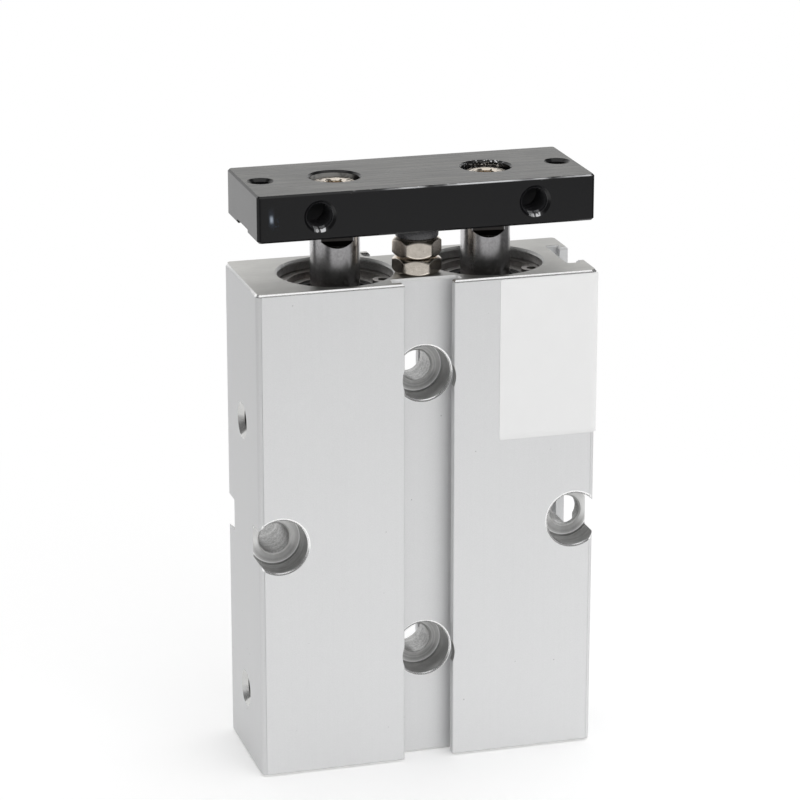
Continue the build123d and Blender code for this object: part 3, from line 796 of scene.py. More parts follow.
@dataclass(frozen=True)
class GroundRod(Finish):
    """Hard chromed round bar under a dull oily film, with wrench flats near its top painted dark as shade.
    """

    place: float
    flat_from: float
    radius: float
    tint: Shade = (0.56, 0.552, 0.56)

    def recipe(self, net: Net) -> None:
        """Fine rings round the bar, blotches in the film, long soft smears along it, painted shade on the
        flats.
        """
        x, y, z = net.place()
        rings = net.noise((7.0, 7.0, 0.04), roughness=0.65)
        smear = net.noise((1.1, 1.1, 5.0), 3.0)
        blotch = net.noise((0.38, 0.38, 0.42), 3.0, 0.65)
        drops = net.noise((1.6, 1.6, 1.8)).rise(0.54, 0.64) * blotch.rise(0.55, 0.66)
        cut = distance(abs(x) - self.place, y).fall(self.radius - 0.10, self.radius - 0.04)
        flat = cut * z.rise(self.flat_from, self.flat_from + 0.05)
        share = smear.sway(0.8) + blotch.sway(1.6) + 0.5
        colour = net.tinted(share, self.tint, 0.74, 1.2)
        colour = net.blend(drops * 0.40, colour, (0.14, 0.135, 0.14))
        # Painted shade: the wrench flats are coloured near-black for the shade under the plate.
        colour = net.blend(flat, colour, (0.06, 0.056, 0.054))
        rough = 0.22 + rings.sway(0.12) + blotch.sway(0.14) + smear.rise(0.5, 0.75) * 0.07 + flat * 0.20
        net.surface(
            Base_Color=colour,
            Metallic=1.0,
            Roughness=rough,
            Normal=net.bump(rings * 0.6 + blotch * 0.4, 0.0025),
        )


@dataclass(frozen=True)
class SpringSteel(Finish):
    """Phosphated and oiled spring steel."""

    tint: Shade = (0.42, 0.40, 0.385)

    def recipe(self, net: Net) -> None:
        """Uneven dark coat with brighter rubbed patches."""
        coat = net.noise(0.5, 4.0, 0.65)
        rubbed = net.noise((1.4, 1.4, 0.4), 3.0).rise(0.55, 0.75)
        colour = net.tinted(coat.sway(1.5) + 0.5, self.tint, 0.7, 1.3)
        colour = net.blend(rubbed * 0.5, colour, (0.44, 0.43, 0.41))
        rough = 0.36 + coat.sway(0.2) - rubbed * 0.10
        net.surface(Base_Color=colour, Metallic=0.9, Roughness=rough, Normal=net.bump(coat, 0.006))


@dataclass(frozen=True)
class TurnedMetal(Finish):
    """Metal turned on a lathe: fine rings round one or more upright axes."""

    tint: Shade
    axes: tuple[float, ...]
    roughness: float = 0.32

    def recipe(self, net: Net) -> None:
        """Rings by the distance from the nearest axis and by height."""
        x, y, z = net.place()
        radius: Value = 1000.0
        for place in self.axes:
            radius = distance(x - place, y).least(radius)
        rings = net.noise((0.09, 1.0, 0.09), at=(radius, 0.0, z))
        stain = net.noise(1.8, 3.0)
        shade = rings.sway(1.2) + stain.sway(0.6) + 0.5
        colour = net.tinted(shade, self.tint, 0.75, 1.2)
        rough = self.roughness + rings.sway(0.16) + stain.sway(0.10)
        net.surface(Base_Color=colour, Metallic=1.0, Roughness=rough, Normal=net.bump(rings, 0.006))


@dataclass(frozen=True)
class Moulded(Finish):
    """Rubber or plastic out of a mould: an even colour, a faint grain and a few paler rubs."""

    tint: Shade
    roughness: float
    grain: float = 0.12
    relief: float = 0.006
    see_into: float = 0.0

    def recipe(self, net: Net) -> None:
        """Grain in the colour and the roughness, with soft clouds of wear."""
        fine = net.noise(self.grain)
        cloud = net.noise(1.7, 3.0)
        shade = fine.sway(0.5) + cloud.sway(0.8) + 0.5
        colour = net.blend(shade, scaled(self.tint, 0.78), scaled(self.tint, 1.25, 0.004))
        rough = self.roughness + fine.sway(0.10) + cloud.sway(0.12)
        net.surface(
            Base_Color=colour,
            Roughness=rough,
            Normal=net.bump(fine, self.relief),
            Subsurface_Weight=self.see_into,
        )


@dataclass(frozen=True)
class LabelFilm(Finish):
    """Matt white film."""

    tint: Shade = (0.84, 0.84, 0.838)

    def recipe(self, net: Net) -> None:
        """A faint fibre in the white, with a soft unevenness from the glue below."""
        fibre = net.noise((0.35, 0.35, 0.1), 3.0)
        glue = net.noise((3.5, 3.5, 5.0), roughness=0.5)
        shade = fibre.sway(0.5) + glue.sway(0.5) + 0.5
        colour = net.tinted(shade, self.tint, 0.965, 1.03)
        rough = 0.42 + fibre.sway(0.08) + glue.sway(0.10)
        net.surface(Base_Color=colour, Roughness=rough, Normal=net.bump(glue * 0.8 + fibre * 0.2, 0.010))


SEAL_RUBBER = Moulded("black_seal_rubber", (0.014, 0.014, 0.014), 0.42)
SCREW_NICKEL = NickelPlate("screw_nickel", (0.74, 0.67, 0.58), 0.14, 0.11)


# Surfaces
def soft_polygon(
    angle: np.ndarray, sides: int, inradius: float, hardness: float, turned: float = 0.0
) -> np.ndarray:
    """Outline of a polygon whose corners are rounded.

    The radius is the inradius divided by the hardness-th root of the sum, over the sides, of the
    cosine of the angle from that side's middle raised to the hardness, where the cosine is positive.

    Args:
        angle: Angles at which the radius is wanted.
        sides: Number of sides.
        inradius: Distance from the middle to each side.
        hardness: The higher, the sharper the corners.
        turned: Angle of the first side's middle.

    Returns:
        The radius at each angle.
    """
    middles = turned + TURN * np.arange(sides) / sides
    towards = np.clip(np.cos(angle[None, :] - middles[:, None]), 0.0, None)
    return inradius / np.sum(towards**hardness, axis=0) ** (1.0 / hardness)


def soft_least(a: np.ndarray, b: np.ndarray, hardness: float) -> np.ndarray:
    """The smaller of two, rounded where they cross: (a^-h + b^-h)^(-1/h)."""
    return (a**-hardness + b**-hardness) ** (-1.0 / hardness)


def eased(low: float, high: float, count: int) -> np.ndarray:
    """Numbers from low to high, closer together near both ends: low + (high - low)(1 - cos(pi t)) / 2."""
    return low + (high - low) * (1.0 - np.cos(np.pi * np.linspace(0.0, 1.0, count))) / 2.0


def rounded(corners: list[tuple[float, float]], reach: float, steps: int = 4) -> np.ndarray:
    """Profile through corners, each inner corner turned into a short curve.

    A curve is the parabola (1-t)^2 A + 2t(1-t) C + t^2 B, where C is the corner and A and B lie on
    its two legs, at most reach and at most 0.45 of the leg away from it.

    Args:
        corners: Points (radius, height) of the profile.
        reach: How far a curve starts from its corner.
        steps: Pieces of each curve.

    Returns:
        An array of points, one row each.
    """
    points = np.array(corners, float)
    t = np.linspace(0.0, 1.0, steps + 1)[:, None]
    out = [points[:1]]
    for before, corner, after in zip(points[:-2], points[1:-1], points[2:]):
        legs = [before - corner, after - corner]
        a, b = (corner + leg * min(0.45, reach / max(np.hypot(*leg), 1e-9)) for leg in legs)
        out.append((1 - t) ** 2 * a + 2 * t * (1 - t) * corner + t**2 * b)
    out.append(points[-1:])
    return np.vstack(out)


def thread_wave(angle: np.ndarray, height: np.ndarray, pitch: float) -> np.ndarray:
    """Relief of a right-hand thread, from 0 at the root to 1 at the crest.

    It is the triangle wave 1 - |2f - 1|, where f is the fraction of height / pitch - angle / turn.

    Args:
        angle: Angles, one per column.
        height: Heights, one per row.
        pitch: Height of one turn.

    Returns:
        The relief, rows by columns.
    """
    fraction = np.mod(height[:, None] / pitch - angle[None, :] / TURN, 1.0)
    return 1.0 - np.abs(2.0 * fraction - 1.0)


@dataclass(frozen=True)
class AxisFrame:
    """An axis with a foot and a direction, all in millimetres: where a turned surface stands."""

    foot: tuple[float, float, float]
    along: tuple[float, float, float] = (0.0, 0.0, 1.0)

    def grid(self, angle: np.ndarray, radius: np.ndarray, height: np.ndarray) -> np.ndarray:
        """Points foot + height * along + radius * (u cos(angle) + v sin(angle)), with u x v = along.

        Args:
            angle: Angles, one per column.
            radius: Radii, rows by columns, or one per row.
            height: Heights, rows by columns, or one per row.

        Returns:
            The points, rows by columns by 3, in millimetres.
        """
        along = np.array(self.along)
        helper = np.array((1.0, 0.0, 0.0)) if abs(along[0]) < 0.5 else np.array((0.0, 1.0, 0.0))
        v = np.cross(along, helper)
        v /= np.linalg.norm(v)
        u = np.cross(v, along)
        columns = len(angle)
        r = radius if radius.ndim == 2 else np.repeat(radius[:, None], columns, axis=1)
        h = height if height.ndim == 2 else np.repeat(height[:, None], columns, axis=1)
        around = np.cos(angle)[:, None] * u + np.sin(angle)[:, None] * v
        return np.array(self.foot) + h[..., None] * along + r[..., None] * around[None, :, :]


def angles(columns: int) -> np.ndarray:
    """Angles of one turn, the last one short of the first."""
    return np.arange(columns) * TURN / columns


def mesh_object(name: str, points: list[list[float]], faces: list[list[int]]) -> bpy.types.Object:
    """Makes a mesh object in the scene.

    Args:
        name: Its name.
        points: Its points, in metres.
        faces: Its faces, each a list of point numbers.

    Returns:
        The object, at the origin.
    """
    mesh = bpy.data.meshes.new(name)
    mesh.from_pydata(points, [], faces)
    made = bpy.data.objects.new(name, mesh)
    bpy.context.scene.collection.objects.link(made)
    return made


def piece_from(name: str, grid: np.ndarray, ends: Ends, crease: float = 38.0) -> bpy.types.Object:
    """Makes a closed mesh object from a grid of points whose columns run round.

    Args:
        name: The piece's name.
        grid: Points in millimetres, rows by columns by 3; rows rise on the outside.
        ends: Whether the first and last rows close in a point each, or meet one another.
        crease: Angle in degrees above which an edge is drawn sharp.

    Returns:
        The object, at the origin.
    """
    rows, columns = grid.shape[:2]
    number = np.arange(rows * columns).reshape(rows, columns)
    lower = number if ends is Ends.JOINED else number[:-1]
    upper = np.roll(number, -1, axis=0) if ends is Ends.JOINED else number[1:]
    quads = np.stack([lower, np.roll(lower, -1, axis=1), np.roll(upper, -1, axis=1), upper], axis=-1)
    faces = quads.reshape(-1, 4).tolist()
    points = grid.reshape(-1, 3)
    if ends is Ends.POLES:
        poles = np.array([grid[0].mean(axis=0), grid[-1].mean(axis=0)])
        points = np.vstack([points, poles])
        first, last = number[0], number[-1]
        bottom = np.full(columns, rows * columns)
        top = np.full(columns, rows * columns + 1)
        faces += np.stack([bottom, np.roll(first, -1), first], axis=-1).tolist()
        faces += np.stack([last, np.roll(last, -1), top], axis=-1).tolist()
    piece = mesh_object(name, (points * MM).tolist(), faces)
    mesh = piece.data
    mesh.polygons.foreach_set("use_smooth", np.ones(len(mesh.polygons), dtype=bool))
    mesh.set_sharp_from_angle(angle=math.radians(crease))
    mesh.update()
    return piece


def finish_piece(
    piece: bpy.types.Object, finish: Finish, body: Body
) -> bpy.types.Object:
    """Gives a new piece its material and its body.

    Args:
        piece: The new piece.
        finish: Its finish.
        body: The body that it moves with.

    Returns:
        The same piece.
    """
    piece.data.materials.clear()
    piece.data.materials.append(finish.material())
    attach(piece, body.value)
    return piece


def dress_node(node: str, finish: Finish) -> None:
    """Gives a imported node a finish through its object's material slots."""
    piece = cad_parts[node]
    for place in piece.material_slots:
        place.link = "OBJECT"
        place.material = finish.material()


def threaded_sleeve(
    name: str, axis: AxisFrame, start: float, end: float, wall: float, ridge: float, pitch: float
) -> bpy.types.Object:
    """Thread ridges inside a tapped hole: a thin sleeve sunk in the wall, its inside a thread.

    Inside, the radius is wall - ridge * wave, where wave is the thread's relief, faded at both ends.

    Args:
        name: The piece's name.
        axis: The hole's axis, from its mouth inwards.
        start: Depth where the thread starts.
        end: Depth where it ends.
        wall: Radius of the hole's wall.
        ridge: Height of a ridge above the wall.
        pitch: Depth of one turn.

    Returns:
        The sleeve.
    """
    angle = angles(64)
    rows = int((end - start) / pitch * 10)
    depth = np.linspace(end, start, rows)
    fade = np.clip(np.minimum(depth - start, end - depth) / (0.8 * pitch), 0.0, 1.0)[:, None]
    inside = wall - 0.004 - ridge * thread_wave(angle, depth, pitch) * fade
    outer_depth = np.array([start, end])
    outside = np.full((2, len(angle)), wall + 0.06)
    radius = np.vstack([outside, inside])
    grid = axis.grid(angle, radius, np.concatenate([outer_depth, depth]))
    return piece_from(name, grid, Ends.JOINED, 50.0)


# Sub-assemblies
@dataclass
class CylinderBlock:
    """The extruded body, the threads of its air ports and the bare film on its front, in millimetres."""

    sizes: BlockSizes = BlockSizes()
    port_thread: tuple[float, float] = (0.95, 5.4)
    port_ridge: float = 0.26
    port_pitch: float = 0.8
    film_left: float = 11.7
    film_bottom: float = 53.9
    film_top: float = 80.55
    film_thickness: float = 0.07
    film_sunk: float = 0.02
    film_corner: float = 0.3
    film_end_corner: float = 0.12
    film_rim: float = 0.05
    film_bend: float = 2.2
    film_turn: float = 30.0

    def finish(self) -> BlastedExtrusion:
        """The body's own finish."""
        return BlastedExtrusion("clear_anodised_extrusion", self.sizes)

    def port_threads(self) -> list[bpy.types.Object]:
        """Thread ridges in the two air ports of the left face."""
        made = []
        for number, level in enumerate(self.sizes.port_levels, 1):
            axis = AxisFrame((-self.sizes.width / 2, 0.0, level), (1.0, 0.0, 0.0))
            thread = (*self.port_thread, self.sizes.port_radius, self.port_ridge, self.port_pitch)
            sleeve = threaded_sleeve(f"air_port_thread_{number}", axis, *thread)
            made.append(finish_piece(sleeve, self.finish(), Body.FIXED))
        return made

    @staticmethod
    def inset(corner: float, to_edge: np.ndarray) -> np.ndarray:
        """How far a corner's arc draws the upper or lower edge in: r - sqrt(r^2 - (r - distance)^2).

        Args:
            corner: The corner's radius r.
            to_edge: Distances from the side edge.

        Returns:
            The inset at each distance, 0 beyond the corner.
        """
        short = np.clip(corner - to_edge, 0.0, None)
        return corner - np.sqrt(np.clip(corner**2 - short**2, 0.0, None))

    def film(self) -> bpy.types.Object:
        """The bare film: a thin slab that follows the front face and stands off its right corner.

        Its middle line runs straight along the front, then along an arc of radius film_bend through
        the angle film_turn. The slab's section is a closed loop across its height, carried along
        that line, and its corners are arcs.
        """
        bend_start = self.sizes.width / 2 - self.sizes.corner_radius
        front = -self.sizes.depth / 2
        straight = bend_start - self.film_left
        total = straight + self.film_bend * math.radians(self.film_turn)
        along = np.concatenate([
            np.linspace(0.0, self.film_corner, 10, endpoint=False),
            np.linspace(self.film_corner, straight, 12, endpoint=False),
            np.linspace(straight, total, 14),
        ])
        turned = np.clip((along - straight) / self.film_bend, 0.0, None)
        out = np.stack([np.sin(turned), -np.cos(turned)], axis=1)
        across = np.minimum(self.film_left + along, bend_start)
        straight_line = np.stack([across, np.full(len(along), front)], axis=1)
        foot = straight_line + self.film_bend * (out + np.array([0.0, 1.0]))
        inset = self.inset(self.film_corner, along)
        bottom = self.film_bottom + inset
        top = self.film_top - inset - self.inset(self.film_end_corner, total - along)
        share = np.linspace(0.0, 1.0, 26)
        rim = self.film_rim
        outer = (bottom + rim)[:, None] + (top - bottom - 2 * rim)[:, None] * share
        heights = np.column_stack([bottom, outer, top, top, bottom])
        edge = 0.35 * self.film_thickness
        lifts = [edge, *[self.film_thickness] * len(share), edge, -self.film_sunk, -self.film_sunk]
        xy = foot[:, None, :] + np.array(lifts)[None, :, None] * out[:, None, :]
        grid = np.concatenate([xy, heights[..., None]], axis=2)[::-1]
        piece = piece_from("front_film", grid, Ends.POLES, 60.0)
        return finish_piece(piece, LabelFilm("bare_white_film"), Body.FIXED)

    def build(self) -> list[bpy.types.Object]:
        """Dresses the body and adds its threads and film."""
        dress_node("cylinder_body", self.finish())
        return [*self.port_threads(), self.film()]


@dataclass
class BoreEnds:
    """What closes and seals both ends of one bore: covers, seals, bush and circlips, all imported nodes."""

    side: str
    bore_place: float

    def build(self) -> list[bpy.types.Object]:
        """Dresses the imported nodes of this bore."""
        axes = (self.bore_place,)
        alloy = TurnedMetal(f"turned_cover_{self.side}", (0.80, 0.79, 0.775), axes, 0.34)
        bronze = TurnedMetal(f"turned_bush_{self.side}", (0.56, 0.41, 0.20), axes, 0.36)
        clip = SpringSteel("phosphated_spring_steel")
        for node in ("front_cover", "rear_cover"):
            dress_node(f"{node}_{self.side}", alloy)
        dress_node(f"guide_bush_{self.side}", bronze)
        for node in ("rod_seal", "front_oring", "rear_oring"):
            dress_node(f"{node}_{self.side}", SEAL_RUBBER)
        for node in ("front_circlip", "rear_circlip"):
            dress_node(f"{node}_{self.side}", clip)
        return []


@dataclass
class StrokeAdjuster:
    """Adjusting bolt, lock nut and rubber bumper between the rods, in millimetres."""

    place: tuple[float, float] = (0.0, -3.5)
    width: float = 7.0
    nut_bottom: float = 81.0
    nut_height: float = 2.5
    nut_turn: float = 42.5
    head_gap: float = 0.2
    head_height: float = 3.2
    head_turn: float = 49.0
    bolt_length: float = 12.5
    shank_radius: float = 2.0
    pitch: float = 0.7
    stem_radius: float = 1.6
    stem_depth: float = 1.4
    bumper_radius: float = 3.5
    bumper_top: float = 88.8
    hardness: float = 34.0
    cone_slope: float = 0.85
    nut_ends: tuple[float, float] = (3.40, 3.47)
    head_ends: tuple[float, float] = (3.30, 3.05)

    @property
    def axis(self) -> AxisFrame:
        """The upright axis of the bolt."""
        return AxisFrame((*self.place, 0.0))

    @property
    def head_bottom(self) -> float:
        """Level of the bolt head's underside."""
        return self.nut_bottom + self.nut_height + self.head_gap

    @property
    def head_top(self) -> float:
        """Level of the bolt head's top."""
        return self.head_bottom + self.head_height

    def hexagon(
        self,
        angle: np.ndarray,
        bottom: float,
        height: float,
        turn: float,
        inner: float,
        ends: tuple[float, float],
    ) -> tuple[np.ndarray, np.ndarray]:
        """Outside of a hexagon with tumbled corners, from its inner edge below to its inner edge above.

        At each level the radius is the soft polygon's, rounded into a cone that cuts the corners
        near both ends: cone = radius at that end + (distance from that end) / slope.

        Args:
            angle: Angles, one per column.
            bottom: Level of the underside.
            height: Height of the hexagon.
            turn: Direction of its first corner, in degrees.
            inner: Radius at which both end faces stop.
            ends: The cone's radius at the bottom and at the top.

        Returns:
            Radii and levels, rows by columns.
        """
        side = soft_polygon(angle, 6, self.width / 2, self.hardness, math.radians(turn + 30.0))
        level = eased(0.0, height, 40)
        cone = np.minimum(ends[0] + level / self.cone_slope, ends[1] + (height - level) / self.cone_slope)
        radius = soft_least(side[None, :], np.repeat(cone[:, None], len(angle), axis=1), 80.0)
        step = np.array([[0.5], [0.10]])
        low = np.vstack([np.full((1, len(angle)), inner), radius[:1] - step])
        high = np.vstack([radius[-1:] - step[::-1], np.full((1, len(angle)), inner)])
        lift = np.minimum(np.minimum(level, height - level) * 3.0, 0.04) - 0.04
        levels = bottom + level - np.where(level < height / 2, lift, -lift)
        rows = np.concatenate([[bottom] * 3, levels, [bottom + height] * 3])
        return np.vstack([low, radius, high]), np.repeat(rows[:, None], len(angle), axis=1)

    def lock_nut(self, finish: Finish) -> bpy.types.Object:
        """The nut: the hexagon's outside closed by a threaded hole."""
        angle = angles(240)
        bore = self.shank_radius + 0.03
        radius, level = self.hexagon(
            angle, self.nut_bottom, self.nut_height, self.nut_turn, bore, self.nut_ends
        )
        piece = piece_from("lock_nut_tumbled", self.axis.grid(angle, radius, level), Ends.JOINED)
        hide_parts("lock_nut")
        return finish_piece(piece, finish, Body.FIXED)

    def bolt(self, finish: Finish) -> bpy.types.Object:
        """The bolt: a threaded shank, the hexagonal head and the recess that holds the bumper."""
        angle = angles(240)
        end = self.head_bottom - self.bolt_length
        shank = np.linspace(end + 0.3, self.head_bottom - 0.02, 120)
        crest = self.shank_radius - 0.01
        thread = crest - 0.30 * (1.0 - thread_wave(angle, shank, self.pitch))
        tip = np.full((1, len(angle)), crest - 0.45)
        recess = self.stem_radius + 0.02
        radius, level = self.hexagon(
            angle, self.head_bottom, self.head_height, self.head_turn, recess, self.head_ends
        )
        floor = np.full((1, len(angle)), recess)
        rows = np.vstack([tip, thread, radius[1:], floor, floor * 0.3])
        foot = np.concatenate([[end], shank])[:, None].repeat(len(angle), axis=1)
        drop = np.full((2, len(angle)), self.head_top - self.stem_depth - 0.02)
        levels = np.vstack([foot, level[1:], drop])
        piece = piece_from("adjusting_bolt_tumbled", self.axis.grid(angle, rows, levels), Ends.POLES)
        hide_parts("adjusting_bolt")
        return finish_piece(piece, finish, Body.FIXED)

    def bumper(self) -> bpy.types.Object:
        """The bumper: a stem in the bolt's head and a button with a soft rim and a low crown."""
        angle = angles(96)
        low = self.head_top
        foot = low - self.stem_depth
        stem = rounded([(0.2, foot), (self.stem_radius, foot), (self.stem_radius, low)], 0.15)
        rise = self.bumper_top - low
        belt = low + rise * 0.42
        t = np.linspace(0.0, 1.0, 40)
        rim = self.bumper_radius * np.cos(t * np.pi / 2) ** 0.30
        crown = low + rise * (0.42 + 0.58 * np.sin(t * np.pi / 2) ** 0.9)
        underside = [(self.stem_radius, low), (self.bumper_radius - 0.05, low), (self.bumper_radius, belt)]
        side = rounded(underside, 0.2)
        radius = np.concatenate([stem[:, 0], side[1:, 0], rim[1:-1]])
        level = np.concatenate([stem[:, 1], side[1:, 1], crown[1:-1]])
        piece = piece_from("bumper_button", self.axis.grid(angle, radius, level), Ends.POLES)
        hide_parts("bumper")
        finish = Moulded("black_bumper_rubber", (0.056, 0.056, 0.059), 0.27, 0.3, 0.003)
        return finish_piece(piece, finish, Body.FIXED)

    def build(self) -> list[bpy.types.Object]:
        """Makes the three pieces."""
        nickel = NickelPlate("tumbled_nickel")
        return [self.lock_nut(nickel), self.bolt(nickel), self.bumper()]


@dataclass
class RodAndPiston:
    """One rod with its piston and its two screws, in millimetres."""

    side: str
    place: float
    rod_radius: float = 4.0
    flat_bottom: float = 86.0
    seat: float = 91.7
    head_height: float = 4.0
    head_radius: float = 3.5
    shank_radius: float = 1.98
    shank_length: float = 10.0
    socket_width: float = 3.0
    socket_depth: float = 1.8
    knurls: int = 44
    knurl_depth: float = 0.09
    turned: float = 12.0

    def cap_screw(self) -> bpy.types.Object:
        """Socket head screw: plain shank, knurled head, countersunk hexagon socket.

        The head's side is radius - depth * |cos(knurls * angle / 2)|, faded out towards both rims;
        the socket's wall is a soft hexagon.
        """
        angle = angles(352)
        one = np.ones(len(angle))
        top = self.seat + self.head_height
        shank = rounded(
            [
                (0.3, self.seat - self.shank_length),
                (self.shank_radius - 0.3, self.seat - self.shank_length),
                (self.shank_radius, self.seat - self.shank_length + 0.3),
                (self.shank_radius, self.seat),
                (self.head_radius - 0.35, self.seat),
                (self.head_radius - 0.05, self.seat + 0.15),
            ],
            0.1,
        )
        side = eased(self.seat + 0.2, top - 0.55, 14)
        fade = np.clip(np.minimum(side - side[0], side[-1] - side) / 0.35, 0.0, 1.0)[:, None]
        groove = np.abs(np.cos(self.knurls * angle / 2))[None, :]
        knurled = self.head_radius - self.knurl_depth * groove * fade
        t = np.linspace(0.0, math.pi / 2, 8)[1:]
        rim_radius = self.head_radius - 0.45 + 0.45 * np.cos(t)
        rim_level = top - 0.5 + 0.5 * np.sin(t)
        mouth = self.socket_width / 2 / math.cos(math.pi / 6) + 0.08
        socket = soft_polygon(angle, 6, self.socket_width / 2, 70.0, math.radians(self.turned))
        floor = top - self.socket_depth
        wall_level = np.array([top - 0.28, top - 0.5, floor + 0.06, floor])
        radius = np.vstack([
            shank[:, :1] * one,
            knurled,
            rim_radius[:, None] * one,
            np.array([[mouth + 0.55], [mouth + 0.06], [mouth]]) * one,
            np.repeat(socket[None, :], 3, axis=0),
            socket[None, :] - 0.06,
            0.25 * one[None, :],
        ])
        level = np.concatenate([
            shank[:, 1],
            side,
            rim_level,
            [top, top, top - 0.03],
            wall_level,
            [floor - 0.55],
        ])
        grid = AxisFrame((self.place, 0.0, 0.0)).grid(angle, radius, level)
        piece = piece_from(f"plate_screw_{self.side}", grid, Ends.POLES)
        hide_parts(f"rod_screw_{self.side}")
        return finish_piece(piece, SCREW_NICKEL, Body.SLIDE)

    def build(self) -> list[bpy.types.Object]:
        """Dresses the rod, the piston and what sits on it, and makes the plate screw."""
        alloy = TurnedMetal(f"turned_piston_{self.side}", (0.62, 0.62, 0.63), (self.place,), 0.3)
        ground = GroundRod("ground_chromed_rod", abs(self.place), self.flat_bottom, self.rod_radius)
        finishes: dict[str, Finish] = {
            "piston_rod": ground,
            "piston": alloy,
            "piston_screw": SCREW_NICKEL,
            "piston_seal": SEAL_RUBBER,
            "magnet_ring": Moulded("bonded_magnet", (0.055, 0.050, 0.048), 0.45, 0.08),
            "wear_ring": Moulded("wear_ring_plastic", (0.78, 0.74, 0.62), 0.40),
            "stroke_bumper": Moulded("amber_polyurethane", (0.45, 0.22, 0.07), 0.28, 0.2, 0.006, 0.1),
        }
        for node, finish in finishes.items():
            dress_node(f"{node}_{self.side}", finish)
        return [self.cap_screw()]


@dataclass
class EndPlate:
    """The black plate that both rods carry, with the threads of its four tapped holes, in millimetres.

    A thread is its start and end depth, the radius of its wall, the height of its ridge and its pitch.
    """

    top: float = 96.5
    thickness: float = 7.5
    front: float = -10.2
    top_hole_place: float = 24.5
    top_thread: tuple[float, ...] = (0.55, 6.55, 1.65, 0.18, 0.7)
    front_hole_place: float = 17.5
    front_thread: tuple[float, ...] = (0.55, 5.8, 2.1, 0.24, 0.8)
    well_place: float = 12.5
    well_radius: float = 4.0
    rub_place: tuple[float, float] = (-25.3, 92.8)

    def build(self) -> list[bpy.types.Object]:
        """Dresses the plate and adds thread ridges to its holes."""
        middle = self.top - self.thickness / 2
        finish = BlackMilled(
            name="black_anodised_plate",
            top=self.top,
            front=self.front,
            rub_place=self.rub_place,
            front_hole=(self.front_hole_place, middle, self.front_thread[2]),
            well=(self.well_place, self.well_radius),
        )
        dress_node("end_plate", finish)
        made = []
        for name, sign in (("left", -1.0), ("right", 1.0)):
            upright = AxisFrame((sign * self.top_hole_place, 0.0, self.top), (0.0, 0.0, -1.0))
            level = AxisFrame((sign * self.front_hole_place, self.front, middle), (0.0, 1.0, 0.0))
            made.append(threaded_sleeve(f"plate_top_thread_{name}", upright, *self.top_thread))
            made.append(threaded_sleeve(f"plate_front_thread_{name}", level, *self.front_thread))
        return [finish_piece(piece, finish, Body.SLIDE) for piece in made]


# Studio
@dataclass(frozen=True)
class Lamp:
    """A square soft lamp, aimed at the middle of the part and left out of reflections; in metres."""

    name: str
    place: tuple[float, float, float]
    size: float
    power: float

    def build(self, aim: Vector) -> bpy.types.Object:
        """Makes the lamp.

        Args:
            aim: The point that it faces.

        Returns:
            The lamp's object.
        """
        data = bpy.data.lights.new(self.name, "AREA")
        data.shape = "SQUARE"
        data.size = self.size
        data.energy = self.power
        lamp = bpy.data.objects.new(self.name, data)
        lamp.location = self.place
        lamp.rotation_euler = (aim - Vector(self.place)).to_track_quat("-Z", "Y").to_euler()
        lamp.visible_glossy = False
        lamp.visible_camera = False
        bpy.context.scene.collection.objects.link(lamp)
        return lamp


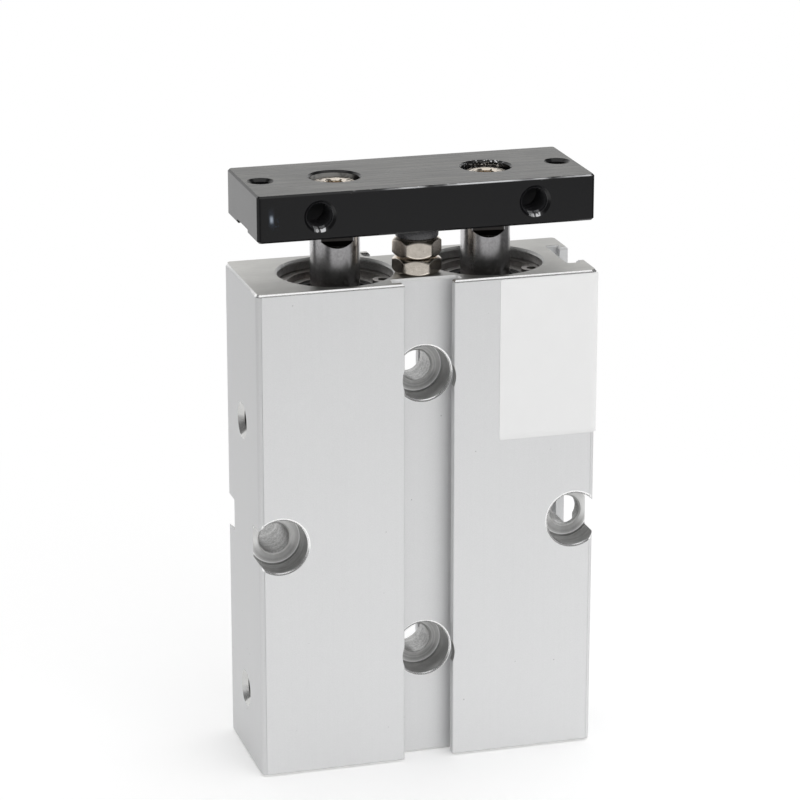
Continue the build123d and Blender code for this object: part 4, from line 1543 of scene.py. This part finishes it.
@dataclass
class Studio:
    """Pale floor, white surroundings, soft lamps, a grey reflection screen and the camera, in metres."""

    camera_place: tuple[float, float, float] = (-0.14499, -0.49294, 0.21978)
    camera_towards: tuple[float, float, float] = (0.26625, 0.91617, -0.29959)
    lens: float = 149.65
    sensor: float = 36.0
    aim: tuple[float, float, float] = (0.0, 0.0, 0.045)
    floor_size: float = 6.0
    floor_level: float = -0.0001
    floor_grey: Shade = (0.90, 0.90, 0.90)
    shadow_near: float = 0.03
    shadow_far: float = 0.17
    floor_lift: float = 0.30
    ambient: float = 0.455
    screen_radius: float = 0.22
    screen_height: float = 0.42
    screen_arc: tuple[float, float] = (140.0, 395.0)
    screen_dark: float = 0.13
    screen_fade: tuple[float, float] = (35.0, 110.0)
    screen_lobes: tuple[tuple[float, float, float, float], ...] = (
        (281.0, 43.0, 55.0, 0.54),
        (184.0, 20.0, 30.0, 0.60),
        (38.0, 6.0, 18.0, 0.55),
    )
    lamps: tuple[Lamp, ...] = (
        Lamp("soft_front", (0.25, -0.95, 0.38), 0.8, 3.7),
        Lamp("soft_top", (0.10, 0.15, 1.05), 0.8, 3.4),
        Lamp("soft_right", (0.80, -0.55, 0.30), 0.5, 1.1),
    )

    def camera(self) -> None:
        """The camera, where the photograph was taken from."""
        data = bpy.data.cameras.new("camera")
        data.lens = self.lens
        data.sensor_width = self.sensor
        data.clip_start = 0.01
        data.clip_end = 20.0
        camera = bpy.data.objects.new("camera", data)
        camera.location = self.camera_place
        camera.rotation_euler = Vector(self.camera_towards).to_track_quat("-Z", "Y").to_euler()
        bpy.context.scene.collection.objects.link(camera)
        bpy.context.scene.camera = camera

    def floor(self) -> bpy.types.Object:
        """A wide pale floor: a true surface round the part, fading to plain white further out."""
        half = self.floor_size / 2
        level = self.floor_level
        corners = [(x, y, level) for x, y in ((-half, -half), (half, -half), (half, half), (-half, half))]
        floor = mesh_object("floor", corners, [(0, 1, 2, 3)])
        material, net = blank_material("pale_floor")
        x, y, _ = net.place()
        away = distance(x, y).rise(self.shadow_near * 1000, self.shadow_far * 1000)
        seen = net.shown()
        lift = net.blend(seen, (0.0, 0.0, 0.0), (self.floor_lift,) * 3)
        paper = net.node(
            "ShaderNodeBsdfPrincipled",
            inputs={
                "Base Color": self.floor_grey,
                "Roughness": 0.7,
                "Emission Color": lift,
                "Emission Strength": 1.0,
            },
        )
        white = net.node("ShaderNodeEmission", inputs={"Color": (1.0, 1.0, 1.0), "Strength": 1.0})
        shaders = {0: away * seen, 1: paper.outputs[0], 2: white.outputs[0]}
        mixed = net.node("ShaderNodeMixShader", inputs=shaders)
        net.node("ShaderNodeOutputMaterial", inputs={"Surface": mixed.outputs[0]})
        floor.data.materials.append(material)
        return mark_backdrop(floor)

    def screen(self) -> bpy.types.Object:
        """An upright grey screen round the front and sides that only mirror-like surfaces show.

        It is an open cylinder, radius * (cos(a), sin(a)) at heights from the floor up. Its shade is
        dark, with a soft lighter lobe round each of a few directions, which fades upwards.
        """
        angle = np.radians(np.linspace(*self.screen_arc, 86))
        ring = np.stack([np.cos(angle), np.sin(angle)], axis=1) * self.screen_radius
        foot = np.column_stack([ring, np.full(len(angle), 0.002)])
        head = np.column_stack([ring, np.full(len(angle), self.screen_height)])
        count = len(angle)
        number = np.arange(count - 1)
        faces = np.stack([number, number + count, number + count + 1, number + 1], axis=1)
        screen = mesh_object("reflection_screen", np.vstack([foot, head]).tolist(), faces.tolist())
        material, net = blank_material("screen_grey")
        x, y, z = net.place()
        far = distance(x, y)
        shade: Colour = (self.screen_dark,) * 3
        for towards, inner, outer, strength in self.screen_lobes:
            a = math.radians(towards)
            cosine = (x * math.cos(a) + y * math.sin(a)) / far
            lobe = cosine.rise(math.cos(math.radians(outer)), math.cos(math.radians(inner)))
            shade = net.blend(lobe * z.fall(*self.screen_fade), shade, (strength,) * 3)
        glow = net.node("ShaderNodeEmission", inputs={"Color": shade, "Strength": 1.0})
        net.node("ShaderNodeOutputMaterial", inputs={"Surface": glow.outputs[0]})
        screen.data.materials.append(material)
        screen.visible_camera = False
        screen.visible_diffuse = False
        screen.visible_shadow = False
        screen.visible_transmission = False
        screen.visible_volume_scatter = False
        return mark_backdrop(screen)

    def world(self) -> None:
        """White for the camera and in reflections, softer for matt surfaces."""
        world = bpy.data.worlds.new("surroundings")
        bpy.context.scene.world = world
        world.use_nodes = True
        net = Net(world.node_tree)
        strength = net.shown() * (1.0 - self.ambient) + self.ambient
        glow = net.node("ShaderNodeBackground", inputs={"Color": (1.0, 1.0, 1.0), "Strength": strength})
        net.node("ShaderNodeOutputWorld", inputs={"Surface": glow.outputs[0]})

    def build(self) -> None:
        """Sets everything up round the part."""
        self.camera()
        self.floor()
        self.screen()
        self.world()
        aim = Vector(self.aim)
        for lamp in self.lamps:
            lamp.build(aim)
        bpy.context.scene.view_settings.view_transform = "Standard"


def main() -> None:
    """Builds the studio and every sub-assembly, and reports each piece."""
    logging.basicConfig(level=logging.INFO, format="%(name)s: %(message)s")
    Studio().build()
    bores = list(zip(("left", "right"), BlockSizes.bore_places))
    assemblies = [
        CylinderBlock(),
        *(BoreEnds(side, place) for side, place in bores),
        StrokeAdjuster(),
        *(RodAndPiston(side, place) for side, place in bores),
        EndPlate(),
    ]
    for assembly in assemblies:
        pieces = assembly.build()
        log.info("%s: %d new pieces", type(assembly).__name__, len(pieces))
        for piece in pieces:
            log.info("  %s, %d faces", piece.name, len(piece.data.polygons))


if __name__ == "__main__":
    main()
